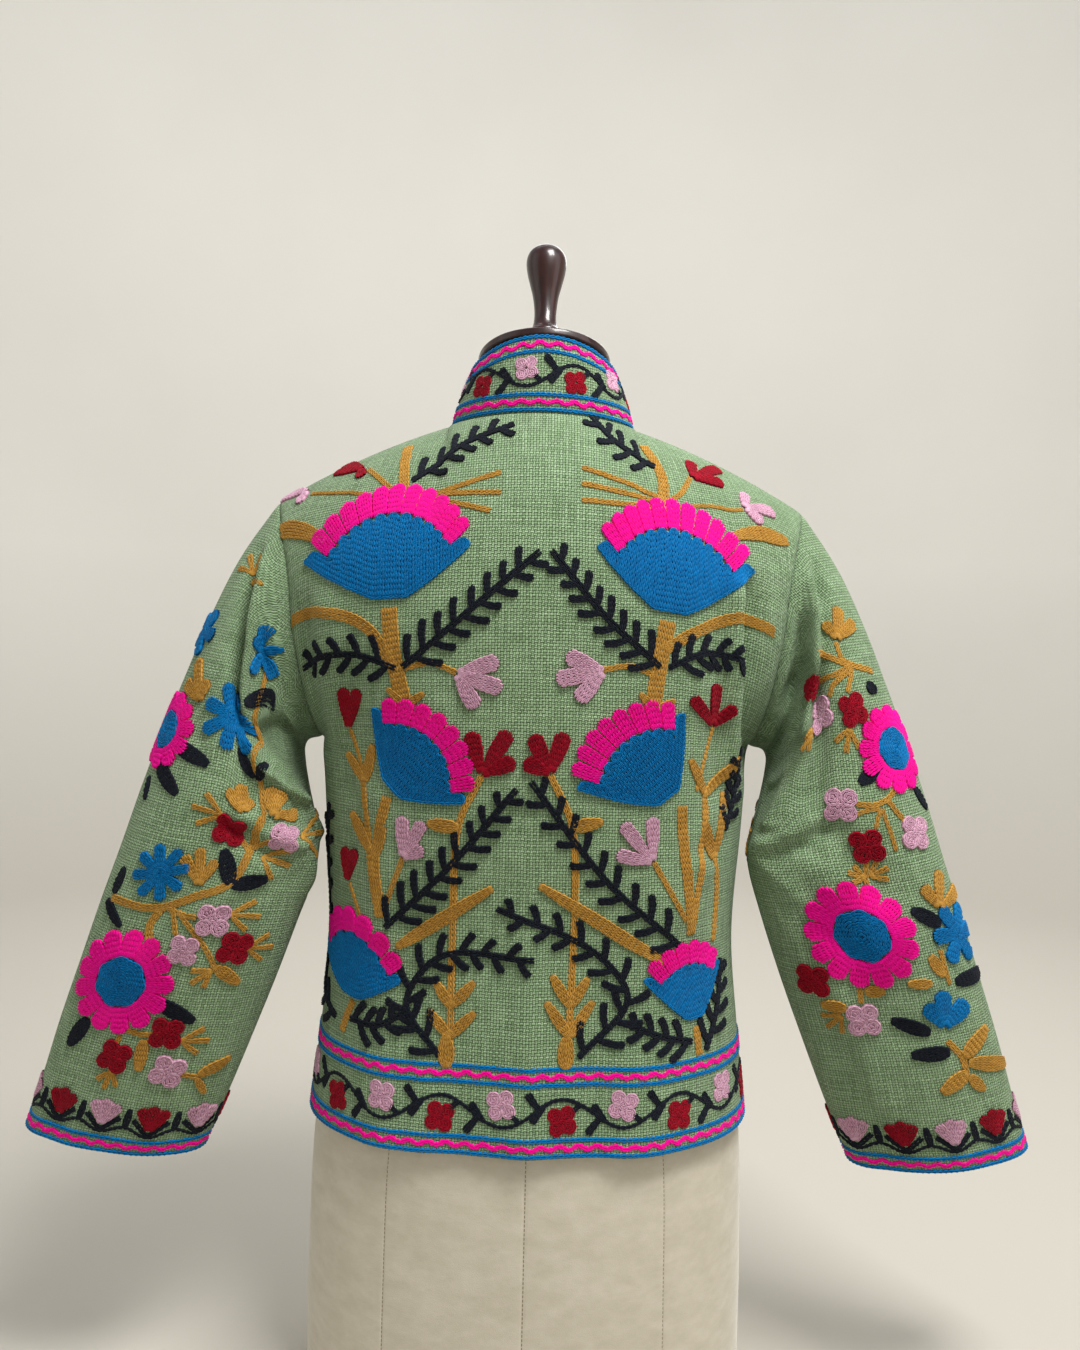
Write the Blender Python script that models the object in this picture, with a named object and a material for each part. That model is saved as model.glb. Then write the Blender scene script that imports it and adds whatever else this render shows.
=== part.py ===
# An embroidered jacket with a stand collar, worn by a limbless dress form.
# Metres, +Z up. The front faces -Y and the wearer's left is +X.
# The origin is the centre of the form's flat underside.

import math
from collections import namedtuple

import bmesh
import bpy
from mathutils import Matrix, Vector

# Cloth, its seams, and how its folds fade and its columns spread
CLOTH_WALL = 0.002
SEAM_GAP = 0.0003
LONGEST_MITRE = 2.4
SEAM_FOLD_FADE = 0.15
YOKE_FOLD_END = 2.6
YOKE_FOLD_FADE = 0.6
YOKE_SPREAD_POWER = 1.6
ARMHOLE_SPREAD_POWER = 0.8
CAP_FOLD_FADE = 0.08
BODY_ROUNDNESS = 1.6

# Heights of the jacket above the form's underside
HEM_HEIGHT = 0.240
UNDERARM_HEIGHT = 0.543
BLADE_HEIGHT = 0.642

# Armhole and shoulder
UNDERARM_HALF_WIDTH = 0.180
BLADE_HALF_WIDTH = 0.1985
SHOULDER_HALF_WIDTH = 0.219
SHOULDER_HEIGHT = 0.740
SHOULDER_CROWN = 0.005
ARMHOLE_BACK = 0.056
ARMHOLE_FRONT = 0.060

# Neckline and stand collar
NECK_HALF_WIDTH = 0.0765
NECK_CENTRE_Y = -0.004
NECK_BACK_DEPTH = 0.066
NECK_FRONT_DEPTH = 0.074
NAPE_HEIGHT = 0.809
NECK_SIDE_HEIGHT = 0.806
NECK_FRONT_HEIGHT = 0.752
NECK_DROP_POWER = 2.6
COLLAR_TOP_HALF_WIDTH = 0.0605
COLLAR_TOP_BACK_DEPTH = 0.0605
COLLAR_TOP_FRONT_DEPTH = 0.0635
COLLAR_TOP_BACK_HEIGHT = 0.870
COLLAR_TOP_SIDE_HEIGHT = 0.852
COLLAR_TOP_FRONT_HEIGHT = 0.806
FRONT_PARTING_TOP = 0.004
FRONT_PARTING_HEM = 0.014

# Dress form
FORM_UNDERARM_HEIGHT = 0.552
FORM_BLADE_HEIGHT = 0.640
FORM_UNDERARM_HALF_WIDTH = 0.160
FORM_BLADE_HALF_WIDTH = 0.172
FORM_SHOULDER_HALF_WIDTH = 0.188
FORM_NECK_HALF_WIDTH = 0.060
FORM_NECK_BACK_DEPTH = 0.055
FORM_NECK_FRONT_DEPTH = 0.050
FORM_NAPE_HEIGHT = 0.812
FORM_NECK_DROP_POWER = 1.15
FORM_NECK_FRONT_HEIGHT = 0.762
CLOTH_REST_GAP = 0.0008
ARM_CAP_CROWN = 0.006
ARM_CAP_RING_SHARE = 0.45
ARM_CAP_RING_CROWN = 0.0048
FORM_NECK_HOLLOW = 0.003
FORM_ARM_BACK = 0.047
FORM_ARM_FRONT = 0.050

# Neck plate and finial
PLATE_TILT = math.radians(16.0)
PLATE_CENTRE = Vector((0.0, -0.004, 0.8605))
PLATE_RADIUS = 0.0555
PLATE_THICKNESS = 0.008
PLATE_EDGE_ROUND = 0.0025
PLATE_SIDES = 48
NECK_TOP_RADIUS = 0.0525
FINIAL_SIDES = 24

# Mesh steps
HALF_COLUMNS = 12
NECK_COLUMNS = 4
SKIRT_ROWS = 8
ARMHOLE_ROWS = 6
YOKE_ROWS = 6
COLLAR_ROWS = 3
SLEEVE_ROWS = 24
FORM_HALF_COLUMNS = 9
FORM_NECK_COLUMNS = 3
FORM_SKIRT_ROWS = 9
FORM_ARMHOLE_ROWS = 4
FORM_YOKE_ROWS = 5
FORM_NECK_ROWS = 3

SEWN = "sewn"
FREE = "free"
BACK = 1
FRONT = -1
LEFT = 1
RIGHT = -1

# Sections of the torso, from low to high
Level = namedtuple("Level", "height half_width back front squareness")
JACKET_LEVELS = (
    Level(0.240, 0.1830, 0.127, 0.129, 2.50),
    Level(0.310, 0.1755, 0.118, 0.121, 2.45),
    Level(0.388, 0.1690, 0.111, 0.117, 2.40),
    Level(0.470, 0.1740, 0.115, 0.125, 2.30),
    Level(0.543, 0.1800, 0.118, 0.130, 2.20),
    Level(0.642, 0.1985, 0.117, 0.126, 2.05),
)
FORM_LEVELS = (
    Level(0.000, 0.1840, 0.1240, 0.1230, 2.30),
    Level(0.120, 0.1835, 0.1240, 0.1230, 2.30),
    Level(0.240, 0.1780, 0.1200, 0.1210, 2.30),
    Level(0.310, 0.1610, 0.1080, 0.1120, 2.25),
    Level(0.395, 0.1380, 0.0920, 0.1000, 2.15),
    Level(0.470, 0.1470, 0.0980, 0.1110, 2.15),
    Level(0.552, 0.1600, 0.1060, 0.1220, 2.10),
    Level(0.640, 0.1720, 0.1060, 0.1050, 2.05),
)

# Soft folds of the body: a line on a face from a high end to a low end
BodyFold = namedtuple("BodyFold", "face high_x high_z low_x low_z spread lift")
BODY_FOLDS = (
    BodyFold(BACK, -0.150, 0.650, -0.140, 0.520, 0.015, -0.0045),
    BodyFold(BACK, -0.128, 0.600, -0.118, 0.420, 0.018, 0.0035),
    BodyFold(BACK, 0.150, 0.600, 0.138, 0.470, 0.018, -0.0035),
    BodyFold(BACK, 0.122, 0.500, 0.112, 0.240, 0.022, 0.0040),
    BodyFold(BACK, -0.104, 0.430, -0.092, 0.240, 0.022, 0.0035),
    BodyFold(BACK, 0.004, 0.400, 0.002, 0.240, 0.016, 0.0040),
    BodyFold(BACK, 0.058, 0.330, 0.056, 0.240, 0.020, -0.0020),
    BodyFold(BACK, -0.052, 0.340, -0.050, 0.240, 0.020, -0.0020),
    BodyFold(FRONT, 0.112, 0.560, 0.098, 0.240, 0.022, 0.0045),
    BodyFold(FRONT, 0.062, 0.420, 0.058, 0.240, 0.018, -0.0030),
    BodyFold(FRONT, 0.158, 0.600, 0.146, 0.500, 0.016, -0.0040),
    BodyFold(FRONT, -0.106, 0.580, -0.100, 0.240, 0.024, 0.0050),
    BodyFold(FRONT, -0.058, 0.400, -0.060, 0.240, 0.018, -0.0030),
    BodyFold(FRONT, -0.156, 0.610, -0.148, 0.480, 0.016, -0.0040),
)

# Sections of a sleeve by its outer and inner edge, from the shoulder to the cuff
Section = namedtuple("Section", "outer_x outer_z inner_x inner_z centre_y half_depth squareness")
SLEEVE_SECTIONS = (
    Section(0.2490, 0.6950, 0.1925, 0.5400, 0.001, 0.0620, 2.00),
    Section(0.2720, 0.6450, 0.1965, 0.5310, 0.007, 0.0645, 2.00),
    Section(0.2920, 0.5920, 0.1940, 0.5180, 0.014, 0.0625, 2.05),
    Section(0.3080, 0.5460, 0.1885, 0.5010, 0.023, 0.0580, 2.10),
    Section(0.3220, 0.5020, 0.1810, 0.4780, 0.032, 0.0530, 2.10),
    Section(0.3350, 0.4590, 0.1765, 0.4520, 0.038, 0.0490, 2.15),
    Section(0.3510, 0.4120, 0.1870, 0.4120, 0.040, 0.0470, 2.20),
    Section(0.3680, 0.3620, 0.2060, 0.3570, 0.039, 0.0450, 2.20),
    Section(0.3855, 0.3120, 0.2270, 0.3030, 0.036, 0.0430, 2.20),
    Section(0.4015, 0.2620, 0.2480, 0.2510, 0.033, 0.0405, 2.20),
    Section(0.4165, 0.2190, 0.2690, 0.2020, 0.030, 0.0385, 2.20),
)

# Folds of a sleeve: from one end to the other, along the sleeve (0 to 1)
# and around it in degrees (0 outer edge, 90 back, 180 inner edge, 270 front)
SleeveFold = namedtuple("SleeveFold", "along_a around_a along_b around_b spread lift")
SLEEVE_REACH = 0.52
SLEEVE_ROUND = 0.075
LEFT_SLEEVE_FOLDS = (
    SleeveFold(0.10, 96, 0.42, 112, 0.016, -0.0085),
    SleeveFold(0.10, 138, 0.36, 146, 0.018, 0.0070),
    SleeveFold(0.44, 128, 0.60, 168, 0.017, 0.0060),
    SleeveFold(0.50, 92, 0.66, 70, 0.018, -0.0045),
    SleeveFold(0.62, 104, 0.96, 112, 0.022, 0.0040),
    SleeveFold(0.78, 62, 0.98, 52, 0.018, -0.0035),
    SleeveFold(0.12, 258, 0.46, 246, 0.017, -0.0075),
    SleeveFold(0.48, 236, 0.64, 208, 0.018, 0.0055),
    SleeveFold(0.56, 284, 0.92, 292, 0.020, -0.0040),
)
RIGHT_SLEEVE_FOLDS = (
    SleeveFold(0.08, 100, 0.38, 118, 0.016, -0.0075),
    SleeveFold(0.22, 122, 0.50, 158, 0.017, 0.0065),
    SleeveFold(0.46, 108, 0.58, 78, 0.017, -0.0050),
    SleeveFold(0.60, 120, 0.78, 96, 0.018, -0.0035),
    SleeveFold(0.66, 84, 0.98, 88, 0.024, 0.0040),
    SleeveFold(0.80, 138, 0.98, 132, 0.018, -0.0035),
    SleeveFold(0.10, 262, 0.42, 250, 0.017, -0.0070),
    SleeveFold(0.40, 232, 0.60, 212, 0.018, 0.0055),
    SleeveFold(0.62, 276, 0.96, 270, 0.020, -0.0040),
)

# Turned profile of the finial: distance up its own axis, then radius
Turning = namedtuple("Turning", "rise radius")
FINIAL_PROFILE = (
    Turning(0.0000, 0.0190),
    Turning(0.0035, 0.0190),
    Turning(0.0065, 0.0160),
    Turning(0.0120, 0.0128),
    Turning(0.0175, 0.0122),
    Turning(0.0205, 0.0146),
    Turning(0.0245, 0.0146),
    Turning(0.0275, 0.0116),
    Turning(0.0360, 0.0097),
    Turning(0.0470, 0.0096),
    Turning(0.0600, 0.0112),
    Turning(0.0720, 0.0140),
    Turning(0.0830, 0.0165),
    Turning(0.0915, 0.0173),
    Turning(0.0985, 0.0158),
    Turning(0.1035, 0.0115),
    Turning(0.1060, 0.0055),
)

# Colours of the materials, then roughness
Finish = namedtuple("Finish", "colour roughness")
SAGE_CLOTH = Finish((0.20, 0.29, 0.14), 0.90)
CREAM_VELVET = Finish((0.62, 0.55, 0.42), 0.85)
DARK_WOOD = Finish((0.030, 0.012, 0.010), 0.18)


def clear_scene():
    for item in list(bpy.data.objects):
        bpy.data.objects.remove(item, do_unlink=True)


def spline_value(places, values, at):
    """A smooth curve through a few values, level outside them."""
    if at <= places[0]:
        return values[0]
    if at >= places[-1]:
        return values[-1]
    last = len(places) - 1
    span = next(i for i in range(last) if at <= places[i + 1])

    def slope(i):
        low = max(i - 1, 0)
        high = min(i + 1, last)
        return (values[high] - values[low]) / (places[high] - places[low])

    width = places[span + 1] - places[span]
    t = (at - places[span]) / width
    start = (2 * t ** 3 - 3 * t ** 2 + 1) * values[span]
    start += (t ** 3 - 2 * t ** 2 + t) * width * slope(span)
    end = (3 * t ** 2 - 2 * t ** 3) * values[span + 1]
    end += (t ** 3 - t ** 2) * width * slope(span + 1)
    return start + end


def read_rows(rows, field, at, key):
    return spline_value([getattr(row, key) for row in rows], [getattr(row, field) for row in rows], at)


def mix(a, b, share):
    return a + (b - a) * share


def ease(share):
    return share * share * (3 - 2 * share)


def segment_distance(x, y, ax, ay, bx, by):
    length_squared = (bx - ax) ** 2 + (by - ay) ** 2
    share = ((x - ax) * (bx - ax) + (y - ay) * (by - ay)) / length_squared
    share = min(1.0, max(0.0, share))
    return math.hypot(x - mix(ax, bx, share), y - mix(ay, by, share))


# The body's surface

Torso = namedtuple("Torso", "levels foot underarm blade underarm_x blade_x armhole_y top_point neck_share lean")


def shoulder_height(x):
    """Height of the jacket's shoulder seam over a distance from the centre."""
    share = (x - NECK_HALF_WIDTH) / (SHOULDER_HALF_WIDTH - NECK_HALF_WIDTH)
    return mix(NECK_SIDE_HEIGHT, SHOULDER_HEIGHT, share) + SHOULDER_CROWN * 4 * share * (1 - share)


def neckline(turn):
    """The neck seam, by the angle from the centre back (0) to the centre front (180)."""
    angle = math.radians(turn)
    depth = NECK_BACK_DEPTH if turn <= 90 else NECK_FRONT_DEPTH
    drop = NAPE_HEIGHT - NECK_SIDE_HEIGHT if turn <= 90 else NECK_FRONT_HEIGHT - NECK_SIDE_HEIGHT
    rise = NECK_SIDE_HEIGHT + drop * abs(math.cos(angle)) ** NECK_DROP_POWER
    return Vector((NECK_HALF_WIDTH * math.sin(angle), NECK_CENTRE_Y + depth * math.cos(angle), rise))


def jacket_top(face, across, neck_share):
    """The upper edge of a panel: half the neck seam, then the shoulder seam."""
    if across <= neck_share:
        turn = 90 * across / neck_share
        return neckline(turn if face == BACK else 180 - turn)
    share = (across - neck_share) / (1 - neck_share)
    x = mix(NECK_HALF_WIDTH, SHOULDER_HALF_WIDTH, share)
    return Vector((x, NECK_CENTRE_Y * (1 - share), shoulder_height(x)))


def form_top(face, across, neck_share):
    """The upper edge of the form's body, just under the jacket's shoulder seam."""
    slope = math.atan2(NECK_SIDE_HEIGHT - SHOULDER_HEIGHT, SHOULDER_HALF_WIDTH - NECK_HALF_WIDTH)
    below = (CLOTH_WALL + CLOTH_REST_GAP) / math.cos(slope)
    side_height = shoulder_height(FORM_NECK_HALF_WIDTH) - below
    if across <= neck_share:
        angle = math.radians(90 * across / neck_share)
        depth = FORM_NECK_BACK_DEPTH if face == BACK else -FORM_NECK_FRONT_DEPTH
        end_height = FORM_NAPE_HEIGHT if face == BACK else FORM_NECK_FRONT_HEIGHT
        height = side_height + (end_height - side_height) * math.cos(angle) ** FORM_NECK_DROP_POWER
        y = NECK_CENTRE_Y + depth * math.cos(angle)
        return Vector((FORM_NECK_HALF_WIDTH * math.sin(angle), y, height))
    share = (across - neck_share) / (1 - neck_share)
    x = mix(FORM_NECK_HALF_WIDTH, FORM_SHOULDER_HALF_WIDTH, share)
    return Vector((x, NECK_CENTRE_Y * (1 - share), shoulder_height(x) - below))


JACKET = Torso(
    JACKET_LEVELS, HEM_HEIGHT, UNDERARM_HEIGHT, BLADE_HEIGHT, UNDERARM_HALF_WIDTH, BLADE_HALF_WIDTH,
    {BACK: ARMHOLE_BACK, FRONT: ARMHOLE_FRONT}, jacket_top, NECK_COLUMNS / HALF_COLUMNS,
    {BACK: 54.0, FRONT: 46.0},
)
FORM = Torso(
    FORM_LEVELS, 0.0, FORM_UNDERARM_HEIGHT, FORM_BLADE_HEIGHT, FORM_UNDERARM_HALF_WIDTH,
    FORM_BLADE_HALF_WIDTH, {BACK: FORM_ARM_BACK, FRONT: FORM_ARM_FRONT}, form_top,
    FORM_NECK_COLUMNS / FORM_HALF_COLUMNS, {BACK: 60.0, FRONT: 36.0},
)


def lower_point(torso, face, across, rise):
    """A point below the blade line: rise 0 to 1 up to the underarm, 1 to 2 beside the armhole."""
    if rise <= 1:
        height = mix(torso.foot, torso.underarm, rise)
        end_y = 0.0
        end_x = read_rows(torso.levels, "half_width", height, "height")
    else:
        swing = math.radians(90 * (rise - 1))
        end_height = mix(torso.underarm, torso.blade, 1 - math.cos(swing))
        end_y = torso.armhole_y[face] * math.sin(swing)
        end_share = (end_height - torso.underarm) / (torso.blade - torso.underarm)
        end_x = mix(torso.underarm_x, torso.blade_x, end_share ** ARMHOLE_SPREAD_POWER)
        middle_height = mix(torso.underarm, torso.blade, rise - 1)
        height = mix(middle_height, end_height, across ** 2)
    depth = read_rows(torso.levels, "back" if face == BACK else "front", height, "height")
    power = read_rows(torso.levels, "squareness", height, "height")
    reach = (1 - (end_y / depth) ** power) ** (1 / power)
    last_turn = math.asin(min(1.0, reach ** (power / 2)))
    turn = across * last_turn
    x = end_x / reach * math.sin(turn) ** (2 / power)
    y = depth * max(0.0, math.cos(turn)) ** (2 / power)
    return Vector((x, face * y, height))


def torso_point(torso, face, across, rise):
    """A point of a torso's half face: across 0 to 1 from the centre, rise 0 to 3 from the foot."""
    if rise <= 2:
        return lower_point(torso, face, across, rise)
    base = lower_point(torso, face, across, 2)
    top = torso.top_point(face, across, torso.neck_share)
    lean = mix(torso.lean[face], 90.0, ease(min(1.0, across / torso.neck_share)))
    full = math.radians(lean)
    swing = full * (rise - 2)
    climb = math.sin(swing) / math.sin(full)
    roll = (math.cos(swing) - math.cos(full)) / (1 - math.cos(full))
    x = mix(base.x, top.x, climb ** YOKE_SPREAD_POWER)
    return Vector((x, mix(top.y, base.y, roll), mix(base.z, top.z, climb)))


def parting_share(face, rise):
    """How far across a front half starts, to leave the parting at the centre."""
    if face == BACK:
        return 0.0
    width = mix(FRONT_PARTING_HEM, FRONT_PARTING_TOP, min(1.0, rise / 3)) / 2
    if rise <= 2:
        middle = lower_point(JACKET, face, 0.5, rise)
        power = read_rows(JACKET.levels, "squareness", middle.z, "height")
        return (width / BLADE_HALF_WIDTH) ** (power / 2) / (math.pi / 2) * 1.02
    return width / NECK_HALF_WIDTH / (math.pi / 2) * JACKET.neck_share * 1.02


def rise_steps(skirt_rows, armhole_rows, yoke_rows):
    steps = [i / skirt_rows for i in range(skirt_rows)]
    steps += [1 + i / armhole_rows for i in range(armhole_rows)]
    steps += [2 + i / yoke_rows for i in range(yoke_rows + 1)]
    return steps


def across_steps(columns, neck_columns, start):
    neck_share = neck_columns / columns
    steps = [mix(start, neck_share, i / neck_columns) for i in range(neck_columns)]
    steps += [i / columns for i in range(neck_columns, columns + 1)]
    return steps


def body_fold_lift(face, point, across):
    """How far the cloth stands proud at a place, fading out at the seams."""
    lift = 0.0
    for fold in BODY_FOLDS:
        if fold.face != face:
            continue
        distance = segment_distance(point.x, point.z, fold.high_x, fold.high_z, fold.low_x, fold.low_z)
        lift += fold.lift * math.exp(-(distance / fold.spread) ** 2)
    return lift * min(1.0, (1 - across) / SEAM_FOLD_FADE) ** 2


def half_face(face, side):
    """Rows of points of half a jacket face, from the centre out to the side."""
    rows = []
    for rise in rise_steps(SKIRT_ROWS, ARMHOLE_ROWS, YOKE_ROWS):
        row = []
        for across in across_steps(HALF_COLUMNS, NECK_COLUMNS, parting_share(face, rise)):
            point = torso_point(JACKET, face, across, rise)
            point.x *= side
            if rise < YOKE_FOLD_END:
                outward = Vector((point.x, point.y * BODY_ROUNDNESS, 0.0)).normalized()
                fade = min(1.0, (YOKE_FOLD_END - rise) / YOKE_FOLD_FADE)
                point += outward * body_fold_lift(face, point, across) * fade
            row.append(point)
        rows.append(row)
    return rows


def back_grid():
    left = half_face(BACK, LEFT)
    right = half_face(BACK, RIGHT)
    return [list(reversed(left_row[1:])) + right_row for left_row, right_row in zip(left, right)]


# The sleeves' surface

def armhole_loop(side):
    """The armhole seam: from the shoulder down the back, then up the front."""
    steps = rise_steps(SKIRT_ROWS, ARMHOLE_ROWS, YOKE_ROWS)[SKIRT_ROWS:]
    down = [torso_point(JACKET, BACK, 1.0, rise) for rise in reversed(steps)]
    up = [torso_point(JACKET, FRONT, 1.0, rise) for rise in steps[1:-1]]
    return [Vector((point.x * side, point.y, point.z)) for point in down + up]


def section_ring(section, side, count):
    """One closed section: 0 at the outer edge, then the back, the inner edge and the front."""
    outer = Vector((section.outer_x, section.centre_y, section.outer_z))
    inner = Vector((section.inner_x, section.centre_y, section.inner_z))
    middle = (outer + inner) / 2
    arm = outer - middle
    power = 2 / section.squareness
    ring = []
    for index in range(count):
        angle = 2 * math.pi * index / count
        wide = math.copysign(abs(math.cos(angle)) ** power, math.cos(angle))
        deep = math.copysign(abs(math.sin(angle)) ** power, math.sin(angle))
        point = middle + arm * wide + Vector((0.0, section.half_depth * deep, 0.0))
        ring.append(Vector((point.x * side, point.y, point.z)))
    return ring


def sleeve_fold_lift(folds, along, around):
    lift = 0.0
    for fold in folds:
        distance = segment_distance(
            along * SLEEVE_REACH, math.radians(around) * SLEEVE_ROUND,
            fold.along_a * SLEEVE_REACH, math.radians(fold.around_a) * SLEEVE_ROUND,
            fold.along_b * SLEEVE_REACH, math.radians(fold.around_b) * SLEEVE_ROUND,
        )
        lift += fold.lift * math.exp(-(distance / fold.spread) ** 2)
    return lift * min(1.0, along / CAP_FOLD_FADE)


def sleeve_grid(side, folds):
    """Rings of a sleeve, from the armhole seam to the cuff."""
    loop = armhole_loop(side)
    count = len(loop)
    stations = [loop] + [section_ring(section, side, count) for section in SLEEVE_SECTIONS]
    places = [0.0]
    for before, after in zip(stations, stations[1:]):
        places.append(places[-1] + (after[0] - before[0]).length)
    places = [place / places[-1] for place in places]
    rings = []
    for step in range(SLEEVE_ROWS + 1):
        along = step / SLEEVE_ROWS
        ring = []
        for index in range(count):
            axes = [[station[index][axis] for station in stations] for axis in range(3)]
            ring.append(Vector([spline_value(places, values, along) for values in axes]))
        middle = sum(ring, Vector()) / count
        for index, point in enumerate(ring):
            outward = (point - middle).normalized()
            point += outward * sleeve_fold_lift(folds, along, 360 * index / count)
        rings.append(ring)
    return rings


# The collar's surface

def collar_top(turn):
    angle = math.radians(turn)
    depth = COLLAR_TOP_BACK_DEPTH if turn <= 90 else COLLAR_TOP_FRONT_DEPTH
    end = COLLAR_TOP_BACK_HEIGHT if turn <= 90 else COLLAR_TOP_FRONT_HEIGHT
    rise = mix(COLLAR_TOP_SIDE_HEIGHT, end, math.cos(angle) ** 2)
    return Vector((COLLAR_TOP_HALF_WIDTH * math.sin(angle), NECK_CENTRE_Y + depth * math.cos(angle), rise))


def collar_turns():
    """Angles of the collar's points: the neck seam's points of the back, then of one front."""
    back = [90 * i / NECK_COLUMNS for i in range(NECK_COLUMNS + 1)]
    start = parting_share(FRONT, 3)
    steps = across_steps(HALF_COLUMNS, NECK_COLUMNS, start)[:NECK_COLUMNS]
    front = [180 - 90 * across / JACKET.neck_share for across in reversed(steps)]
    return back + front


def collar_grid():
    turns = collar_turns()
    signed = [(turn, RIGHT) for turn in reversed(turns[1:])] + [(turn, LEFT) for turn in turns]
    rows = []
    for step in range(COLLAR_ROWS + 1):
        share = step / COLLAR_ROWS
        row = []
        for turn, side in signed:
            point = neckline(turn).lerp(collar_top(turn), share)
            row.append(Vector((point.x * side, point.y, point.z)))
        rows.append(row)
    return rows


# Walls of cloth from grids of points

Panel = namedtuple("Panel", "name grid ringed seams")


def neighbour(grid, row, column, row_step, column_step, ringed):
    other_row = min(max(row + row_step, 0), len(grid) - 1)
    other_column = column + column_step
    width = len(grid[0])
    if ringed:
        other_column %= width
    else:
        other_column = min(max(other_column, 0), width - 1)
    return grid[other_row][other_column]


def grid_normals(panel, centre_of_row):
    """Unit normals of a grid's points, facing away from the hollow that it wraps."""
    normals = []
    facing = 0.0
    for row, points in enumerate(panel.grid):
        line = []
        for column, point in enumerate(points):
            over = neighbour(panel.grid, row, column, 0, 1, panel.ringed)
            over = over - neighbour(panel.grid, row, column, 0, -1, panel.ringed)
            up = neighbour(panel.grid, row, column, 1, 0, panel.ringed)
            up = up - neighbour(panel.grid, row, column, -1, 0, panel.ringed)
            normal = over.cross(up).normalized()
            facing += normal.dot(point - centre_of_row(points))
            line.append(normal)
        normals.append(line)
    sign = 1 if facing > 0 else -1
    return [[normal * sign for normal in line] for line in normals]


def place_key(point):
    return tuple(round(value * 20000) for value in point)


def rims_at(panel, row, column):
    """Which rims a grid point lies on, as their names."""
    rims = []
    if row == 0:
        rims.append("foot")
    if row == len(panel.grid) - 1:
        rims.append("top")
    if not panel.ringed and column == 0:
        rims.append("start")
    if not panel.ringed and column == len(panel.grid[0]) - 1:
        rims.append("end")
    return rims


def seam_rims(panel, row, column):
    """The rims at a point that are sewn to a neighbour there."""
    return [rim for rim in rims_at(panel, row, column) if panel.seams[rim] == SEWN]


def inward(panel, row, column, rim, normal):
    """The direction in the cloth, square to a rim, that leads away from it."""
    step = {"foot": (1, 0), "top": (-1, 0), "start": (0, 1), "end": (0, -1)}[rim]
    here = panel.grid[row][column]
    away = neighbour(panel.grid, row, column, step[0], step[1], panel.ringed) - here
    if rim in ("foot", "top"):
        line = neighbour(panel.grid, row, column, 0, 1, panel.ringed)
        line = line - neighbour(panel.grid, row, column, 0, -1, panel.ringed)
    else:
        line = neighbour(panel.grid, row, column, 1, 0, panel.ringed)
        line = line - neighbour(panel.grid, row, column, -1, 0, panel.ringed)
    line.normalize()
    away -= line * away.dot(line)
    return away.normalized()


def shared_normals(panels, normals):
    """The mean normal at each seam point, and the least cosine of a panel's own normal to it."""
    groups = {}
    for panel in panels:
        for row, points in enumerate(panel.grid):
            for column, point in enumerate(points):
                if seam_rims(panel, row, column):
                    groups.setdefault(place_key(point), []).append(normals[panel.name][row][column])
    shared = {}
    for key, group in groups.items():
        mean = sum(group, Vector()).normalized()
        shared[key] = (mean, min(normal.dot(mean) for normal in group))
    return shared


def wall_points(panel, own_normals, shared):
    """Outer and inner points of a panel's wall, drawn back from its seams."""
    outer = []
    inner = []
    for row, points in enumerate(panel.grid):
        outer_row = []
        inner_row = []
        for column, point in enumerate(points):
            normal = own_normals[row][column]
            mitre = 1.0
            shift = Vector()
            rims = seam_rims(panel, row, column)
            if rims:
                normal, cosine = shared[place_key(point)]
                mitre = min(LONGEST_MITRE, 1 / max(cosine, 0.1))
                for rim in rims:
                    away = inward(panel, row, column, rim, normal)
                    square = math.sqrt(max(0.1, 1 - away.dot(normal) ** 2))
                    shift += away * (SEAM_GAP / 2 / square)
            outer_row.append(point + shift)
            inner_row.append(point + shift - normal * CLOTH_WALL * mitre)
        outer.append(outer_row)
        inner.append(inner_row)
    return outer, inner


def add_sheet(mesh, rows, ringed):
    vertices = [[mesh.verts.new(point) for point in row] for row in rows]
    width = len(rows[0])
    last = width if ringed else width - 1
    for row in range(len(rows) - 1):
        for column in range(last):
            beside = (column + 1) % width
            mesh.faces.new((
                vertices[row][column], vertices[row][beside],
                vertices[row + 1][beside], vertices[row + 1][column],
            ))
    return vertices


def rim_path(vertices, ringed):
    """The vertices along the rims: one closed path, or two on a ringed sheet."""
    if ringed:
        return [vertices[0], vertices[-1]]
    path = list(vertices[0])
    path += [row[-1] for row in vertices[1:]]
    path += list(reversed(vertices[-1][:-1]))
    path += [row[0] for row in reversed(vertices[1:-1])]
    return [path]


def add_rim_step(mesh, outer_a, outer_b, inner_a, inner_b):
    """Two triangles of a rim, split from the lower outer corner so that both sides of a seam match."""
    if (round(outer_a.co.z, 4), round(outer_a.co.y, 4)) > (round(outer_b.co.z, 4), round(outer_b.co.y, 4)):
        outer_a, outer_b = outer_b, outer_a
        inner_a, inner_b = inner_b, inner_a
    mesh.faces.new((outer_a, outer_b, inner_b))
    mesh.faces.new((outer_a, inner_b, inner_a))


def make_wall(panel, own_normals, shared, material):
    outer, inner = wall_points(panel, own_normals, shared)
    mesh = bmesh.new()
    outer_vertices = add_sheet(mesh, outer, panel.ringed)
    inner_vertices = add_sheet(mesh, inner, panel.ringed)
    outer_rims = rim_path(outer_vertices, panel.ringed)
    inner_rims = rim_path(inner_vertices, panel.ringed)
    for outer_rim, inner_rim in zip(outer_rims, inner_rims):
        for index in range(len(outer_rim)):
            after = (index + 1) % len(outer_rim)
            add_rim_step(mesh, outer_rim[index], outer_rim[after], inner_rim[index], inner_rim[after])
    return finish_object(panel.name, mesh, material)


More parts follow.
